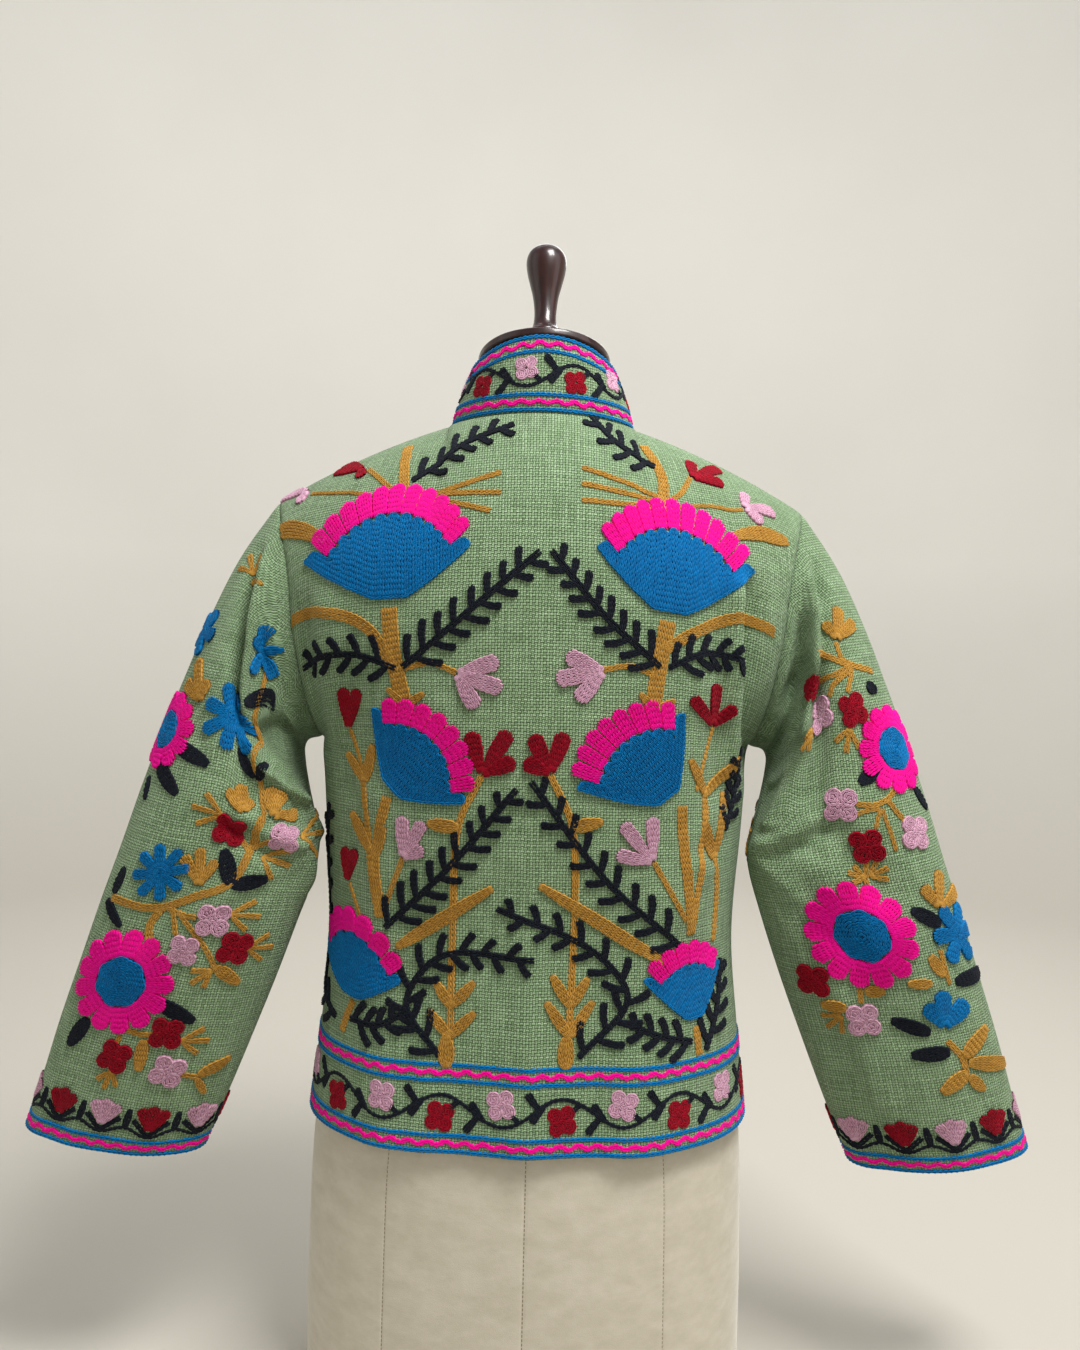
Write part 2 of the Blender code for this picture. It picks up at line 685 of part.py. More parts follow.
def finish_object(name, mesh, material):
    bmesh.ops.recalc_face_normals(mesh, faces=mesh.faces)
    data = bpy.data.meshes.new(name)
    mesh.to_mesh(data)
    mesh.free()
    data.shade_smooth()
    data.set_sharp_from_angle(angle=math.radians(50))
    data.materials.append(material)
    item = bpy.data.objects.new(name, data)
    bpy.context.collection.objects.link(item)
    return item


def make_material(name, finish):
    material = bpy.data.materials.new(name)
    material.use_nodes = True
    shader = material.node_tree.nodes["Principled BSDF"]
    shader.inputs["Base Color"].default_value = (*finish.colour, 1.0)
    shader.inputs["Roughness"].default_value = finish.roughness
    shader.inputs["Metallic"].default_value = 0.0
    return material


# The jacket's pieces

def row_middle(points):
    return Vector((0.0, 0.0, sum(point.z for point in points) / len(points)))


def ring_middle(points):
    return sum(points, Vector()) / len(points)


def make_jacket():
    back_rims = {"foot": FREE, "top": SEWN, "start": SEWN, "end": SEWN}
    front_rims = {"foot": FREE, "top": SEWN, "start": FREE, "end": SEWN}
    sleeve_rims = {"foot": SEWN, "top": FREE}
    collar_rims = {"foot": SEWN, "top": FREE, "start": FREE, "end": FREE}
    panels = [
        Panel("back_panel", back_grid(), False, back_rims),
        Panel("left_front", half_face(FRONT, LEFT), False, front_rims),
        Panel("right_front", half_face(FRONT, RIGHT), False, front_rims),
        Panel("left_sleeve", sleeve_grid(LEFT, LEFT_SLEEVE_FOLDS), True, sleeve_rims),
        Panel("right_sleeve", sleeve_grid(RIGHT, RIGHT_SLEEVE_FOLDS), True, sleeve_rims),
        Panel("collar", collar_grid(), False, collar_rims),
    ]
    normals = {}
    for panel in panels:
        middle = ring_middle if panel.ringed else row_middle
        normals[panel.name] = grid_normals(panel, middle)
    shared = shared_normals(panels, normals)
    for panel in panels:
        cloth = make_material(panel.name + "_cloth", SAGE_CLOTH)
        make_wall(panel, normals[panel.name], shared, cloth)


# The dress form

def form_rows():
    """Rows of points up the form's back and front, each from the left side to the right."""
    steps = rise_steps(FORM_SKIRT_ROWS, FORM_ARMHOLE_ROWS, FORM_YOKE_ROWS)
    across = across_steps(FORM_HALF_COLUMNS, FORM_NECK_COLUMNS, 0.0)
    faces = {}
    for face in (BACK, FRONT):
        rows = []
        for rise in steps:
            half = [torso_point(FORM, face, share, rise) for share in across]
            mirrored = [Vector((-point.x, point.y, point.z)) for point in half[1:]]
            rows.append(list(reversed(half)) + mirrored)
        faces[face] = rows
    return faces


def make_form_body():
    """The torso: two faces sewn at the sides and shoulders, domed arm caps, a neck and a flat foot."""
    faces = form_rows()
    mesh = bmesh.new()
    grids = {face: add_sheet(mesh, rows, False) for face, rows in faces.items()}
    foot = list(grids[BACK][0]) + list(reversed(grids[FRONT][0][1:-1]))
    mesh.faces.new(foot)
    armhole_start = FORM_SKIRT_ROWS
    for column in (0, -1):
        side = 1 if column == 0 else -1
        down = [row[column] for row in reversed(grids[BACK][armhole_start:])]
        up = [row[column] for row in grids[FRONT][armhole_start + 1:-1]]
        cap_arm_opening(mesh, down + up, side)
    first = FORM_HALF_COLUMNS - FORM_NECK_COLUMNS
    last = FORM_HALF_COLUMNS + FORM_NECK_COLUMNS
    back_neck = grids[BACK][-1][first:last + 1]
    front_neck = grids[FRONT][-1][first + 1:last]
    raise_neck(mesh, back_neck + list(reversed(front_neck)))
    bmesh.ops.remove_doubles(mesh, verts=mesh.verts, dist=0.00001)
    finish_object("form_body", mesh, make_material("cream_velvet", CREAM_VELVET))


def cap_arm_opening(mesh, loop, side):
    """A shallow dome over an arm opening, by one smaller ring and a middle point."""
    middle = sum((vertex.co for vertex in loop), Vector()) / len(loop)
    ring = []
    for vertex in loop:
        place = vertex.co.lerp(middle, ARM_CAP_RING_SHARE)
        place.x += side * ARM_CAP_RING_CROWN
        ring.append(mesh.verts.new(place))
    peak = mesh.verts.new(middle + Vector((side * ARM_CAP_CROWN, 0.0, 0.0)))
    for index, vertex in enumerate(loop):
        after = (index + 1) % len(loop)
        mesh.faces.new((vertex, loop[after], ring[after], ring[index]))
        mesh.faces.new((ring[index], ring[after], peak))


def plate_frame():
    return Matrix.Translation(PLATE_CENTRE) @ Matrix.Rotation(PLATE_TILT, 4, "X")


def raise_neck(mesh, loop):
    """The neck: rings from the body's neck edge up to a flat end under the plate."""
    frame = plate_frame()
    under = -PLATE_THICKNESS / 2 - SEAM_GAP
    previous = loop
    for step in range(1, FORM_NECK_ROWS + 1):
        share = step / FORM_NECK_ROWS
        ring = []
        for vertex in loop:
            outward = Vector((vertex.co.x, vertex.co.y - NECK_CENTRE_Y, 0.0)).normalized()
            top = frame @ Vector((outward.x * NECK_TOP_RADIUS, outward.y * NECK_TOP_RADIUS, under))
            place = vertex.co.lerp(top, share)
            place -= outward * FORM_NECK_HOLLOW * math.sin(math.pi * share)
            ring.append(mesh.verts.new(place))
        for index in range(len(loop)):
            after = (index + 1) % len(loop)
            mesh.faces.new((previous[index], previous[after], ring[after], ring[index]))
        previous = ring
    mesh.faces.new(previous)


def turned_body(name, profile, sides, frame, material):
    """A closed turned solid: rings at each step of its profile, flat at both ends."""
    mesh = bmesh.new()
    rings = []
    for rise, radius in profile:
        ring = []
        for index in range(sides):
            angle = 2 * math.pi * index / sides
            place = Vector((radius * math.cos(angle), radius * math.sin(angle), rise))
            ring.append(mesh.verts.new(frame @ place))
        rings.append(ring)
    for low, high in zip(rings, rings[1:]):
        for index in range(sides):
            after = (index + 1) % sides
            mesh.faces.new((low[index], low[after], high[after], high[index]))
    mesh.faces.new(rings[0])
    mesh.faces.new(rings[-1])
    return finish_object(name, mesh, material)


def make_neck_plate():
    """The dark cap on the neck: a disc with rounded edges."""
    half = PLATE_THICKNESS / 2
    profile = []
    for side in (-1, 1):
        steps = (0.0, 30.0, 60.0, 90.0) if side < 0 else (90.0, 60.0, 30.0, 0.0)
        for degrees in steps:
            angle = math.radians(degrees)
            radius = PLATE_RADIUS - PLATE_EDGE_ROUND * (1 - math.sin(angle))
            rise = side * (half - PLATE_EDGE_ROUND * (1 - math.cos(angle)))
            profile.append((rise, radius))
    turned_body("neck_plate", profile, PLATE_SIDES, plate_frame(), make_material("plate_wood", DARK_WOOD))


def make_neck_finial():
    seat = Matrix.Translation((0.0, 0.0, PLATE_THICKNESS / 2 + SEAM_GAP))
    profile = [(turning.rise, turning.radius) for turning in FINIAL_PROFILE]
    frame = plate_frame() @ seat
    turned_body("neck_finial", profile, FINIAL_SIDES, frame, make_material("finial_wood", DARK_WOOD))


clear_scene()
make_form_body()
make_neck_plate()
make_neck_finial()
make_jacket()
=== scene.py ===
import math
import bmesh
import bpy
import numpy as np
from mathutils import Matrix, Vector


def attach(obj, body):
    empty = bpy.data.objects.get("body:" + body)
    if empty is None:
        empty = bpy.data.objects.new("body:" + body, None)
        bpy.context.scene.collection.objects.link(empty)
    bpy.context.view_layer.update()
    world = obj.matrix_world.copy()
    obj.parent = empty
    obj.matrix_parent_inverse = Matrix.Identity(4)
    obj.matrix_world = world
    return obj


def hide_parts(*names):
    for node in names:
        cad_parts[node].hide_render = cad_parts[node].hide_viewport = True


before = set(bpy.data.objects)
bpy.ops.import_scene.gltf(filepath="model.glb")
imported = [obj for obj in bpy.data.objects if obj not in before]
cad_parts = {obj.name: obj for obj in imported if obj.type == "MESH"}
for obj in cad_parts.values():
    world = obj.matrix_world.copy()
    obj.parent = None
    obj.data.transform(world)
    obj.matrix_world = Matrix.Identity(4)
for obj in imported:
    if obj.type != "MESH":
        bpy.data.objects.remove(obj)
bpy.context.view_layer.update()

print("frame loaded")

# lengths are metres, +Z up, the jacket's front faces -Y and the wearer's left is +X
back, front = 1, -1
left, right = 1, -1

camera = {"place": (-0.0024, 0.98, 0.64), "pitchDown": 2.4, "rollDegrees": 1.3, "lens": 30.8}


def makeCamera():
    lensData = bpy.data.cameras.new("photoCamera")
    lensData.lens = camera["lens"]
    lensData.sensor_width = 36
    lensData.clip_start = 0.01
    item = bpy.data.objects.new("photoCamera", lensData)
    bpy.context.collection.objects.link(item)
    tilt = Matrix.Rotation(math.radians(90 - camera["pitchDown"]), 4, "X")
    turn = Matrix.Rotation(math.pi, 4, "Z")
    roll = Matrix.Rotation(math.radians(camera["rollDegrees"]), 4, "Z")
    item.matrix_world = Matrix.Translation(camera["place"]) @ turn @ tilt @ roll
    bpy.context.scene.camera = item


makeCamera()


# smooth curves and mixes on arrays

def curveThrough(places, values, at):
    places = np.asarray(places, float)
    values = np.asarray(values, float)
    at = np.clip(at, places[0], places[-1])
    last = len(places) - 1
    span = np.clip(np.searchsorted(places, at, side="left") - 1, 0, last - 1)
    low = np.maximum(np.arange(last + 1) - 1, 0)
    high = np.minimum(np.arange(last + 1) + 1, last)
    gaps = places[high] - places[low]
    slopes = (values[high] - values[low]) / gaps.reshape((-1,) + (1,) * (values.ndim - 1))
    width = places[span + 1] - places[span]
    t = (at - places[span]) / width
    extra = (1,) * (values.ndim - 1)
    width = width.reshape(width.shape + extra)
    t = t.reshape(t.shape + extra)
    start = (2 * t ** 3 - 3 * t ** 2 + 1) * values[span] + (t ** 3 - 2 * t ** 2 + t) * width * slopes[span]
    end = (3 * t ** 2 - 2 * t ** 3) * values[span + 1] + (t ** 3 - t ** 2) * width * slopes[span + 1]
    return start + end


def mix(a, b, share):
    return a + (b - a) * share


def ease(share):
    share = np.clip(share, 0, 1)
    return share * share * (3 - 2 * share)


def unit(vectors):
    return vectors / np.maximum(np.linalg.norm(vectors, axis=-1, keepdims=True), 1e-12)


def lineDistance(x, y, ax, ay, bx, by):
    length = (bx - ax) ** 2 + (by - ay) ** 2
    share = np.clip(((x - ax) * (bx - ax) + (y - ay) * (by - ay)) / length, 0, 1)
    return np.hypot(x - mix(ax, bx, share), y - mix(ay, by, share))


# the torso's shape, of the jacket and of the form under it

neck = {
    "halfWidth": 0.0765, "centreY": -0.004, "backDepth": 0.066, "frontDepth": 0.074, "nape": 0.809,
    "side": 0.806, "frontHeight": 0.752, "dropPower": 2.6, "share": 1 / 3,
}
shoulder = {"halfWidth": 0.219, "height": 0.740, "crown": 0.005, "wall": 0.002, "restGap": 0.0008}
formNeck = {
    "halfWidth": 0.060, "backDepth": 0.055, "frontDepth": 0.050, "nape": 0.812, "frontHeight": 0.762,
    "dropPower": 1.15, "shoulderHalfWidth": 0.188,
}

# columns of the levels: height, half width, back, front, squareness
jacketShape = {
    "foot": 0.240, "underarm": 0.543, "blade": 0.642, "underarmX": 0.180, "bladeX": 0.1985,
    "armholeY": {back: 0.056, front: 0.060}, "lean": {back: 54.0, front: 46.0},
    "levels": (
        (0.240, 0.1830, 0.127, 0.129, 2.50),
        (0.310, 0.1755, 0.118, 0.121, 2.45),
        (0.388, 0.1690, 0.111, 0.117, 2.40),
        (0.470, 0.1740, 0.115, 0.125, 2.30),
        (0.543, 0.1800, 0.118, 0.130, 2.20),
        (0.642, 0.1985, 0.117, 0.126, 2.05),
    ),
}
formShape = {
    "foot": 0.0, "underarm": 0.552, "blade": 0.640, "underarmX": 0.160, "bladeX": 0.172,
    "armholeY": {back: 0.047, front: 0.050}, "lean": {back: 60.0, front: 36.0},
    "levels": (
        (0.000, 0.1840, 0.1240, 0.1230, 2.30),
        (0.120, 0.1835, 0.1240, 0.1230, 2.30),
        (0.240, 0.1780, 0.1200, 0.1210, 2.30),
        (0.310, 0.1610, 0.1080, 0.1120, 2.25),
        (0.395, 0.1380, 0.0920, 0.1000, 2.15),
        (0.470, 0.1470, 0.0980, 0.1110, 2.15),
        (0.552, 0.1600, 0.1060, 0.1220, 2.10),
        (0.640, 0.1720, 0.1060, 0.1050, 2.05),
    ),
}


def shoulderHeight(x):
    share = (x - neck["halfWidth"]) / (shoulder["halfWidth"] - neck["halfWidth"])
    return mix(neck["side"], shoulder["height"], share) + shoulder["crown"] * 4 * share * (1 - share)


def neckline(turn):  # degrees from the centre back to the centre front
    angle = np.radians(turn)
    behind = turn <= 90
    depth = np.where(behind, neck["backDepth"], neck["frontDepth"])
    drop = np.where(behind, neck["nape"], neck["frontHeight"]) - neck["side"]
    z = neck["side"] + drop * np.abs(np.cos(angle)) ** neck["dropPower"]
    return np.stack([neck["halfWidth"] * np.sin(angle), neck["centreY"] + depth * np.cos(angle), z], -1)


def jacketTop(face, across):
    turn = 90 * np.clip(across / neck["share"], 0, 1)
    collarSeam = neckline(turn if face == back else 180 - turn)
    share = np.clip((across - neck["share"]) / (1 - neck["share"]), 0, 1)
    x = mix(neck["halfWidth"], shoulder["halfWidth"], share)
    shoulderSeam = np.stack([x, neck["centreY"] * (1 - share), shoulderHeight(x)], -1)
    return np.where((across <= neck["share"])[..., None], collarSeam, shoulderSeam)


def formTop(face, across):
    slope = math.atan2(neck["side"] - shoulder["height"], shoulder["halfWidth"] - neck["halfWidth"])
    below = (shoulder["wall"] + shoulder["restGap"]) / math.cos(slope)
    sideHeight = shoulderHeight(formNeck["halfWidth"]) - below
    angle = np.radians(90 * np.clip(across / neck["share"], 0, 1))
    depth = formNeck["backDepth"] if face == back else -formNeck["frontDepth"]
    endHeight = formNeck["nape"] if face == back else formNeck["frontHeight"]
    z = sideHeight + (endHeight - sideHeight) * np.abs(np.cos(angle)) ** formNeck["dropPower"]
    y = neck["centreY"] + depth * np.cos(angle)
    neckEdge = np.stack([formNeck["halfWidth"] * np.sin(angle), y, z], -1)
    share = np.clip((across - neck["share"]) / (1 - neck["share"]), 0, 1)
    x = mix(formNeck["halfWidth"], formNeck["shoulderHalfWidth"], share)
    ridge = np.stack([x, neck["centreY"] * (1 - share), shoulderHeight(x) - below], -1)
    return np.where((across <= neck["share"])[..., None], neckEdge, ridge)


def lowerPoint(shape, face, across, rise):
    levels = np.array(shape["levels"])
    swing = np.radians(90 * np.clip(rise - 1, 0, 1))
    low = rise <= 1
    foot, underarm, blade = shape["foot"], shape["underarm"], shape["blade"]
    endHeight = np.where(low, mix(foot, underarm, rise), mix(underarm, blade, 1 - np.cos(swing)))
    endY = shape["armholeY"][face] * np.sin(swing)
    endShare = np.clip((endHeight - underarm) / (blade - underarm), 0, 1)
    side = curveThrough(levels[:, 0], levels[:, 1], endHeight)
    endX = np.where(low, side, mix(shape["underarmX"], shape["bladeX"], endShare ** 0.8))
    height = np.where(low, endHeight, mix(mix(underarm, blade, rise - 1), endHeight, across ** 2))
    depth = curveThrough(levels[:, 0], levels[:, 2 if face == back else 3], height)
    power = curveThrough(levels[:, 0], levels[:, 4], height)
    reach = (1 - (endY / depth) ** power) ** (1 / power)
    turn = across * np.arcsin(np.clip(reach ** (power / 2), 0, 1))
    x = endX / reach * np.sin(turn) ** (2 / power)
    y = depth * np.clip(np.cos(turn), 0, 1) ** (2 / power)
    return np.stack([x, face * y, height], -1)


def torsoPoint(shape, topLine, face, across, rise):  # across 0 to 1, rise 0 to 3, arrays of one shape
    lower = lowerPoint(shape, face, across, np.minimum(rise, 2.0))
    base = lowerPoint(shape, face, across, np.full_like(rise, 2.0))
    top = topLine(face, across)
    full = np.radians(mix(shape["lean"][face], 90.0, ease(across / neck["share"])))
    swing = full * np.clip(rise - 2, 0, 1)
    climb = np.sin(swing) / np.sin(full)
    roll = (np.cos(swing) - np.cos(full)) / (1 - np.cos(full))
    x = mix(base[..., 0], top[..., 0], climb ** 1.6)
    y = mix(top[..., 1], base[..., 1], roll)
    upper = np.stack([x, y, mix(base[..., 2], top[..., 2], climb)], -1)
    return np.where((rise <= 2)[..., None], lower, upper)


# folds of the body: face, high x, high z, low x, low z, spread, lift
bodyFolds = (
    (back, -0.150, 0.650, -0.140, 0.520, 0.015, -0.0045),
    (back, -0.128, 0.600, -0.118, 0.420, 0.018, 0.0035),
    (back, 0.150, 0.600, 0.138, 0.470, 0.018, -0.0035),
    (back, 0.122, 0.500, 0.112, 0.240, 0.022, 0.0040),
    (back, -0.104, 0.430, -0.092, 0.240, 0.022, 0.0035),
    (back, 0.004, 0.400, 0.002, 0.240, 0.016, 0.0040),
    (back, 0.058, 0.330, 0.056, 0.240, 0.020, -0.0020),
    (back, -0.052, 0.340, -0.050, 0.240, 0.020, -0.0020),
    (front, 0.112, 0.560, 0.098, 0.240, 0.022, 0.0045),
    (front, 0.062, 0.420, 0.058, 0.240, 0.018, -0.0030),
    (front, 0.158, 0.600, 0.146, 0.500, 0.016, -0.0040),
    (front, -0.106, 0.580, -0.100, 0.240, 0.024, 0.0050),
    (front, -0.058, 0.400, -0.060, 0.240, 0.018, -0.0030),
    (front, -0.156, 0.610, -0.148, 0.480, 0.016, -0.0040),
)
# finer creases, in the same columns
bodyCreases = (
    (back, -0.168, 0.655, -0.160, 0.560, 0.0050, -0.0022),
    (back, -0.176, 0.600, -0.171, 0.545, 0.0045, 0.0016),
    (back, 0.166, 0.640, 0.160, 0.575, 0.0055, -0.0018),
    (back, 0.001, 0.790, 0.001, 0.250, 0.0045, 0.0006),
    (back, -0.150, 0.520, -0.112, 0.488, 0.0070, -0.0012),
    (back, 0.152, 0.512, 0.120, 0.470, 0.0070, -0.0012),
    (back, 0.140, 0.405, 0.090, 0.392, 0.0080, 0.0010),
    (back, -0.142, 0.400, -0.098, 0.380, 0.0080, 0.0010),
    (back, 0.080, 0.300, 0.078, 0.242, 0.0100, 0.0014),
    (back, -0.076, 0.310, -0.073, 0.242, 0.0100, 0.0014),
    (front, 0.150, 0.560, 0.108, 0.520, 0.0070, -0.0014),
    (front, -0.152, 0.556, -0.112, 0.512, 0.0075, -0.0014),
    (front, 0.140, 0.420, 0.088, 0.400, 0.0080, 0.0011),
    (front, -0.138, 0.410, -0.090, 0.388, 0.0080, 0.0011),
    (front, 0.170, 0.650, 0.164, 0.560, 0.0050, -0.0020),
    (front, -0.170, 0.640, -0.163, 0.556, 0.0050, -0.0020),
)

# steps, where one side of a crease stands over the other: spread, lift, then places along the crease
bodySteps = {
    back: (
        (0.008, 0.0064, (-0.160, 0.690), (-0.160, 0.650), (-0.162, 0.590), (-0.165, 0.505)),
        (0.011, 0.0030, (0.166, 0.530), (0.174, 0.600), (0.178, 0.670)),
        (0.009, 0.0018, (-0.120, 0.470), (-0.148, 0.452)),
    ),
    front: (
        (0.010, 0.0045, (-0.164, 0.520), (-0.168, 0.590), (-0.170, 0.660)),
        (0.011, 0.0050, (0.160, 0.690), (0.163, 0.610), (0.164, 0.530)),
    ),
}

parting = {"hem": 0.014, "top": 0.004, "spare": 1.02}
# where folds, creases and steps die away: rise runs from 0 at the hem to 3 at the top seam, and the sides
# are shares of the way across a half panel
foldFade = {
    "foldRise": 2.6, "foldSpan": 0.6, "creaseRise": 2.95, "creaseSpan": 0.3, "side": 0.15, "stepSide": 0.06,
    "stepEnds": 0.22,
}
foldGain = {"bodySteps": 1.5, "sleeveSteps": 1.7, "sleeveCreases": 1.15}
outwardPull = np.array([1.0, 1.6, 0.0])


def partingShare(rise):
    width = mix(parting["hem"], parting["top"], np.minimum(1, rise / 3)) / 2
    levels = np.array(jacketShape["levels"])
    middle = lowerPoint(jacketShape, front, np.full_like(rise, 0.5), np.minimum(rise, 2.0))
    power = curveThrough(levels[:, 0], levels[:, 4], middle[..., 2])
    low = (width / jacketShape["bladeX"]) ** (power / 2) / (math.pi / 2) * parting["spare"]
    high = width / neck["halfWidth"] / (math.pi / 2) * neck["share"] * parting["spare"]
    return np.where(rise <= 2, low, high)


def foldLift(folds, face, points, across):
    lift = np.zeros(points.shape[:-1])
    for fold in folds:
        if fold[0] == face:
            away = lineDistance(points[..., 0], points[..., 2], *fold[1:5])
            lift += fold[6] * np.exp(-(away / fold[5]) ** 2)
    return lift * np.clip((1 - across) / foldFade["side"], 0, 1) ** 2


# metres, farther than any place is from a step
farAway = 9.0


def stepLift(steps, x, y):
    lift = np.zeros(np.broadcast(x, y).shape)
    for spread, height, *places in steps:
        away = np.full(lift.shape, farAway)
        share = np.zeros(lift.shape)
        count = len(places) - 1
        for i, ((ax, ay), (bx, by)) in enumerate(zip(places, places[1:])):
            long = (bx - ax) ** 2 + (by - ay) ** 2
            at = np.clip(((x - ax) * (bx - ax) + (y - ay) * (by - ay)) / long, 0, 1)
            gap = np.hypot(x - mix(ax, bx, at), y - mix(ay, by, at))
            side = np.sign((bx - ax) * (y - ay) - (by - ay) * (x - ax))
            nearer = gap < np.abs(away)
            away = np.where(nearer, gap * side, away)
            share = np.where(nearer, (i + at) / count, share)
        fade = ease(np.minimum(share, 1 - share) / foldFade["stepEnds"])
        lift += height * fade * away / spread * np.exp(0.5 - 0.5 * (away / spread) ** 2)
    return lift


def gridNormals(grid, ringed=False):
    if ringed:
        over = np.roll(grid, -1, 1) - np.roll(grid, 1, 1)
    else:
        over = np.gradient(grid, axis=1)
    return unit(np.cross(over, np.gradient(grid, axis=0)))


riseSteps = np.concatenate([np.linspace(0, 1, 66)[:-1], np.linspace(1, 2, 28)[:-1], np.linspace(2, 3, 44)])


def halfFace(face, side, columns):
    neckColumns = round(columns * neck["share"])
    start = partingShare(riseSteps) if face == front else np.zeros_like(riseSteps)
    inner = mix(start[:, None], neck["share"], np.linspace(0, 1, neckColumns + 1)[None, :-1])
    outer = np.linspace(neck["share"], 1, columns - neckColumns + 1)[None, :].repeat(len(riseSteps), 0)
    across = np.concatenate([inner, outer], 1)
    rise = riseSteps[:, None].repeat(across.shape[1], 1)
    grid = torsoPoint(jacketShape, jacketTop, face, across, rise)
    grid[..., 0] *= side
    outward = unit(grid * outwardPull)
    fade = np.clip((foldFade["foldRise"] - rise) / foldFade["foldSpan"], 0, 1)
    lift = foldLift(bodyFolds, face, grid, across) * fade
    upperFade = np.clip((foldFade["creaseRise"] - rise) / foldFade["creaseSpan"], 0, 1)
    lift += foldLift(bodyCreases, face, grid, across) * upperFade
    sideFade = np.clip((1 - across) / foldFade["stepSide"], 0, 1)
    steps = stepLift(bodySteps[face], grid[..., 0], grid[..., 2]) * foldGain["bodySteps"]
    lift += steps * upperFade * sideFade
    grid += outward * lift[..., None]
    return grid


# the sleeves' shape: outer x, outer z, inner x, inner z, centre y, half depth, squareness
sleeveSections = (
    (0.2490, 0.6950, 0.1925, 0.5400, 0.001, 0.0620, 2.00),
    (0.2720, 0.6450, 0.1965, 0.5310, 0.007, 0.0645, 2.00),
    (0.2920, 0.5920, 0.1940, 0.5180, 0.014, 0.0625, 2.05),
    (0.3080, 0.5460, 0.1885, 0.5010, 0.023, 0.0580, 2.10),
    (0.3220, 0.5020, 0.1810, 0.4780, 0.032, 0.0530, 2.10),
    (0.3350, 0.4590, 0.1765, 0.4520, 0.038, 0.0490, 2.15),
    (0.3510, 0.4120, 0.1870, 0.4120, 0.040, 0.0470, 2.20),
    (0.3680, 0.3620, 0.2060, 0.3570, 0.039, 0.0450, 2.20),
    (0.3855, 0.3120, 0.2270, 0.3030, 0.036, 0.0430, 2.20),
    (0.4015, 0.2620, 0.2480, 0.2510, 0.033, 0.0405, 2.20),
    (0.4165, 0.2190, 0.2690, 0.2020, 0.030, 0.0385, 2.20),
)
# metres along the sleeve and metres to a radian round it, and the shares of the length in which folds begin
sleeveSpan = {"reach": 0.52, "round": 0.075, "foldsBegin": 0.08, "creasesBegin": 0.045}

# folds of the sleeves: along and around at each end, spread, lift
# around is 0 at the outer edge, 90 at the back, 180 at the inner edge and 270 at the front
sleeveFolds = {
    left: (
        (0.10, 96, 0.42, 112, 0.016, -0.0085),
        (0.10, 138, 0.36, 146, 0.018, 0.0070),
        (0.44, 128, 0.60, 168, 0.017, 0.0060),
        (0.50, 92, 0.66, 70, 0.018, -0.0045),
        (0.62, 104, 0.96, 112, 0.022, 0.0040),
        (0.78, 62, 0.98, 52, 0.018, -0.0035),
        (0.12, 258, 0.46, 246, 0.017, -0.0075),
        (0.48, 236, 0.64, 208, 0.018, 0.0055),
        (0.56, 284, 0.92, 292, 0.020, -0.0040),
    ),
    right: (
        (0.08, 100, 0.38, 118, 0.016, -0.0075),
        (0.22, 122, 0.50, 158, 0.017, 0.0065),
        (0.46, 108, 0.58, 78, 0.017, -0.0050),
        (0.60, 120, 0.78, 96, 0.018, -0.0035),
        (0.66, 84, 0.98, 88, 0.024, 0.0040),
        (0.80, 138, 0.98, 132, 0.018, -0.0035),
        (0.10, 262, 0.42, 250, 0.017, -0.0070),
        (0.40, 232, 0.60, 212, 0.018, 0.0055),
        (0.62, 276, 0.96, 270, 0.020, -0.0040),
    ),
}
# finer creases, in the same columns
sleeveCreases = {
    left: (
        (0.13, 142, 0.26, 124, 0.0150, -0.0130),
        (0.30, 112, 0.34, 124, 0.0110, 0.0050),
        (0.34, 124, 0.39, 156, 0.0110, 0.0055),
        (0.39, 156, 0.50, 182, 0.0110, 0.0050),
        (0.34, 152, 0.50, 158, 0.0070, 0.0024),
        (0.44, 148, 0.50, 104, 0.0060, -0.0020),
        (0.50, 160, 0.57, 120, 0.0065, 0.0022),
        (0.58, 150, 0.64, 108, 0.0065, -0.0016),
        (0.30, 60, 0.40, 84, 0.0080, -0.0014),
        (0.72, 128, 0.86, 142, 0.0080, 0.0014),
        (0.40, 220, 0.50, 256, 0.0065, -0.0024),
        (0.54, 214, 0.60, 250, 0.0070, 0.0020),
        (0.10, 266, 0.34, 254, 0.0060, -0.0028),
    ),
    right: (
        (0.045, 84, 0.07, 118, 0.0120, -0.0110),
        (0.07, 118, 0.14, 158, 0.0140, -0.0100),
        (0.07, 66, 0.10, 88, 0.0100, 0.0045),
        (0.10, 88, 0.17, 116, 0.0110, 0.0050),
        (0.17, 116, 0.30, 158, 0.0120, 0.0045),
        (0.24, 140, 0.44, 150, 0.0080, 0.0026),
        (0.46, 154, 0.52, 112, 0.0060, -0.0020),
        (0.52, 164, 0.60, 128, 0.0065, 0.0020),
        (0.62, 144, 0.68, 100, 0.0070, -0.0016),
        (0.26, 54, 0.38, 82, 0.0080, -0.0014),
        (0.74, 120, 0.90, 116, 0.0080, 0.0014),
        (0.42, 216, 0.52, 250, 0.0065, -0.0024),
        (0.56, 210, 0.62, 248, 0.0070, 0.0020),
        (0.10, 268, 0.32, 256, 0.0060, -0.0028),
    ),
}
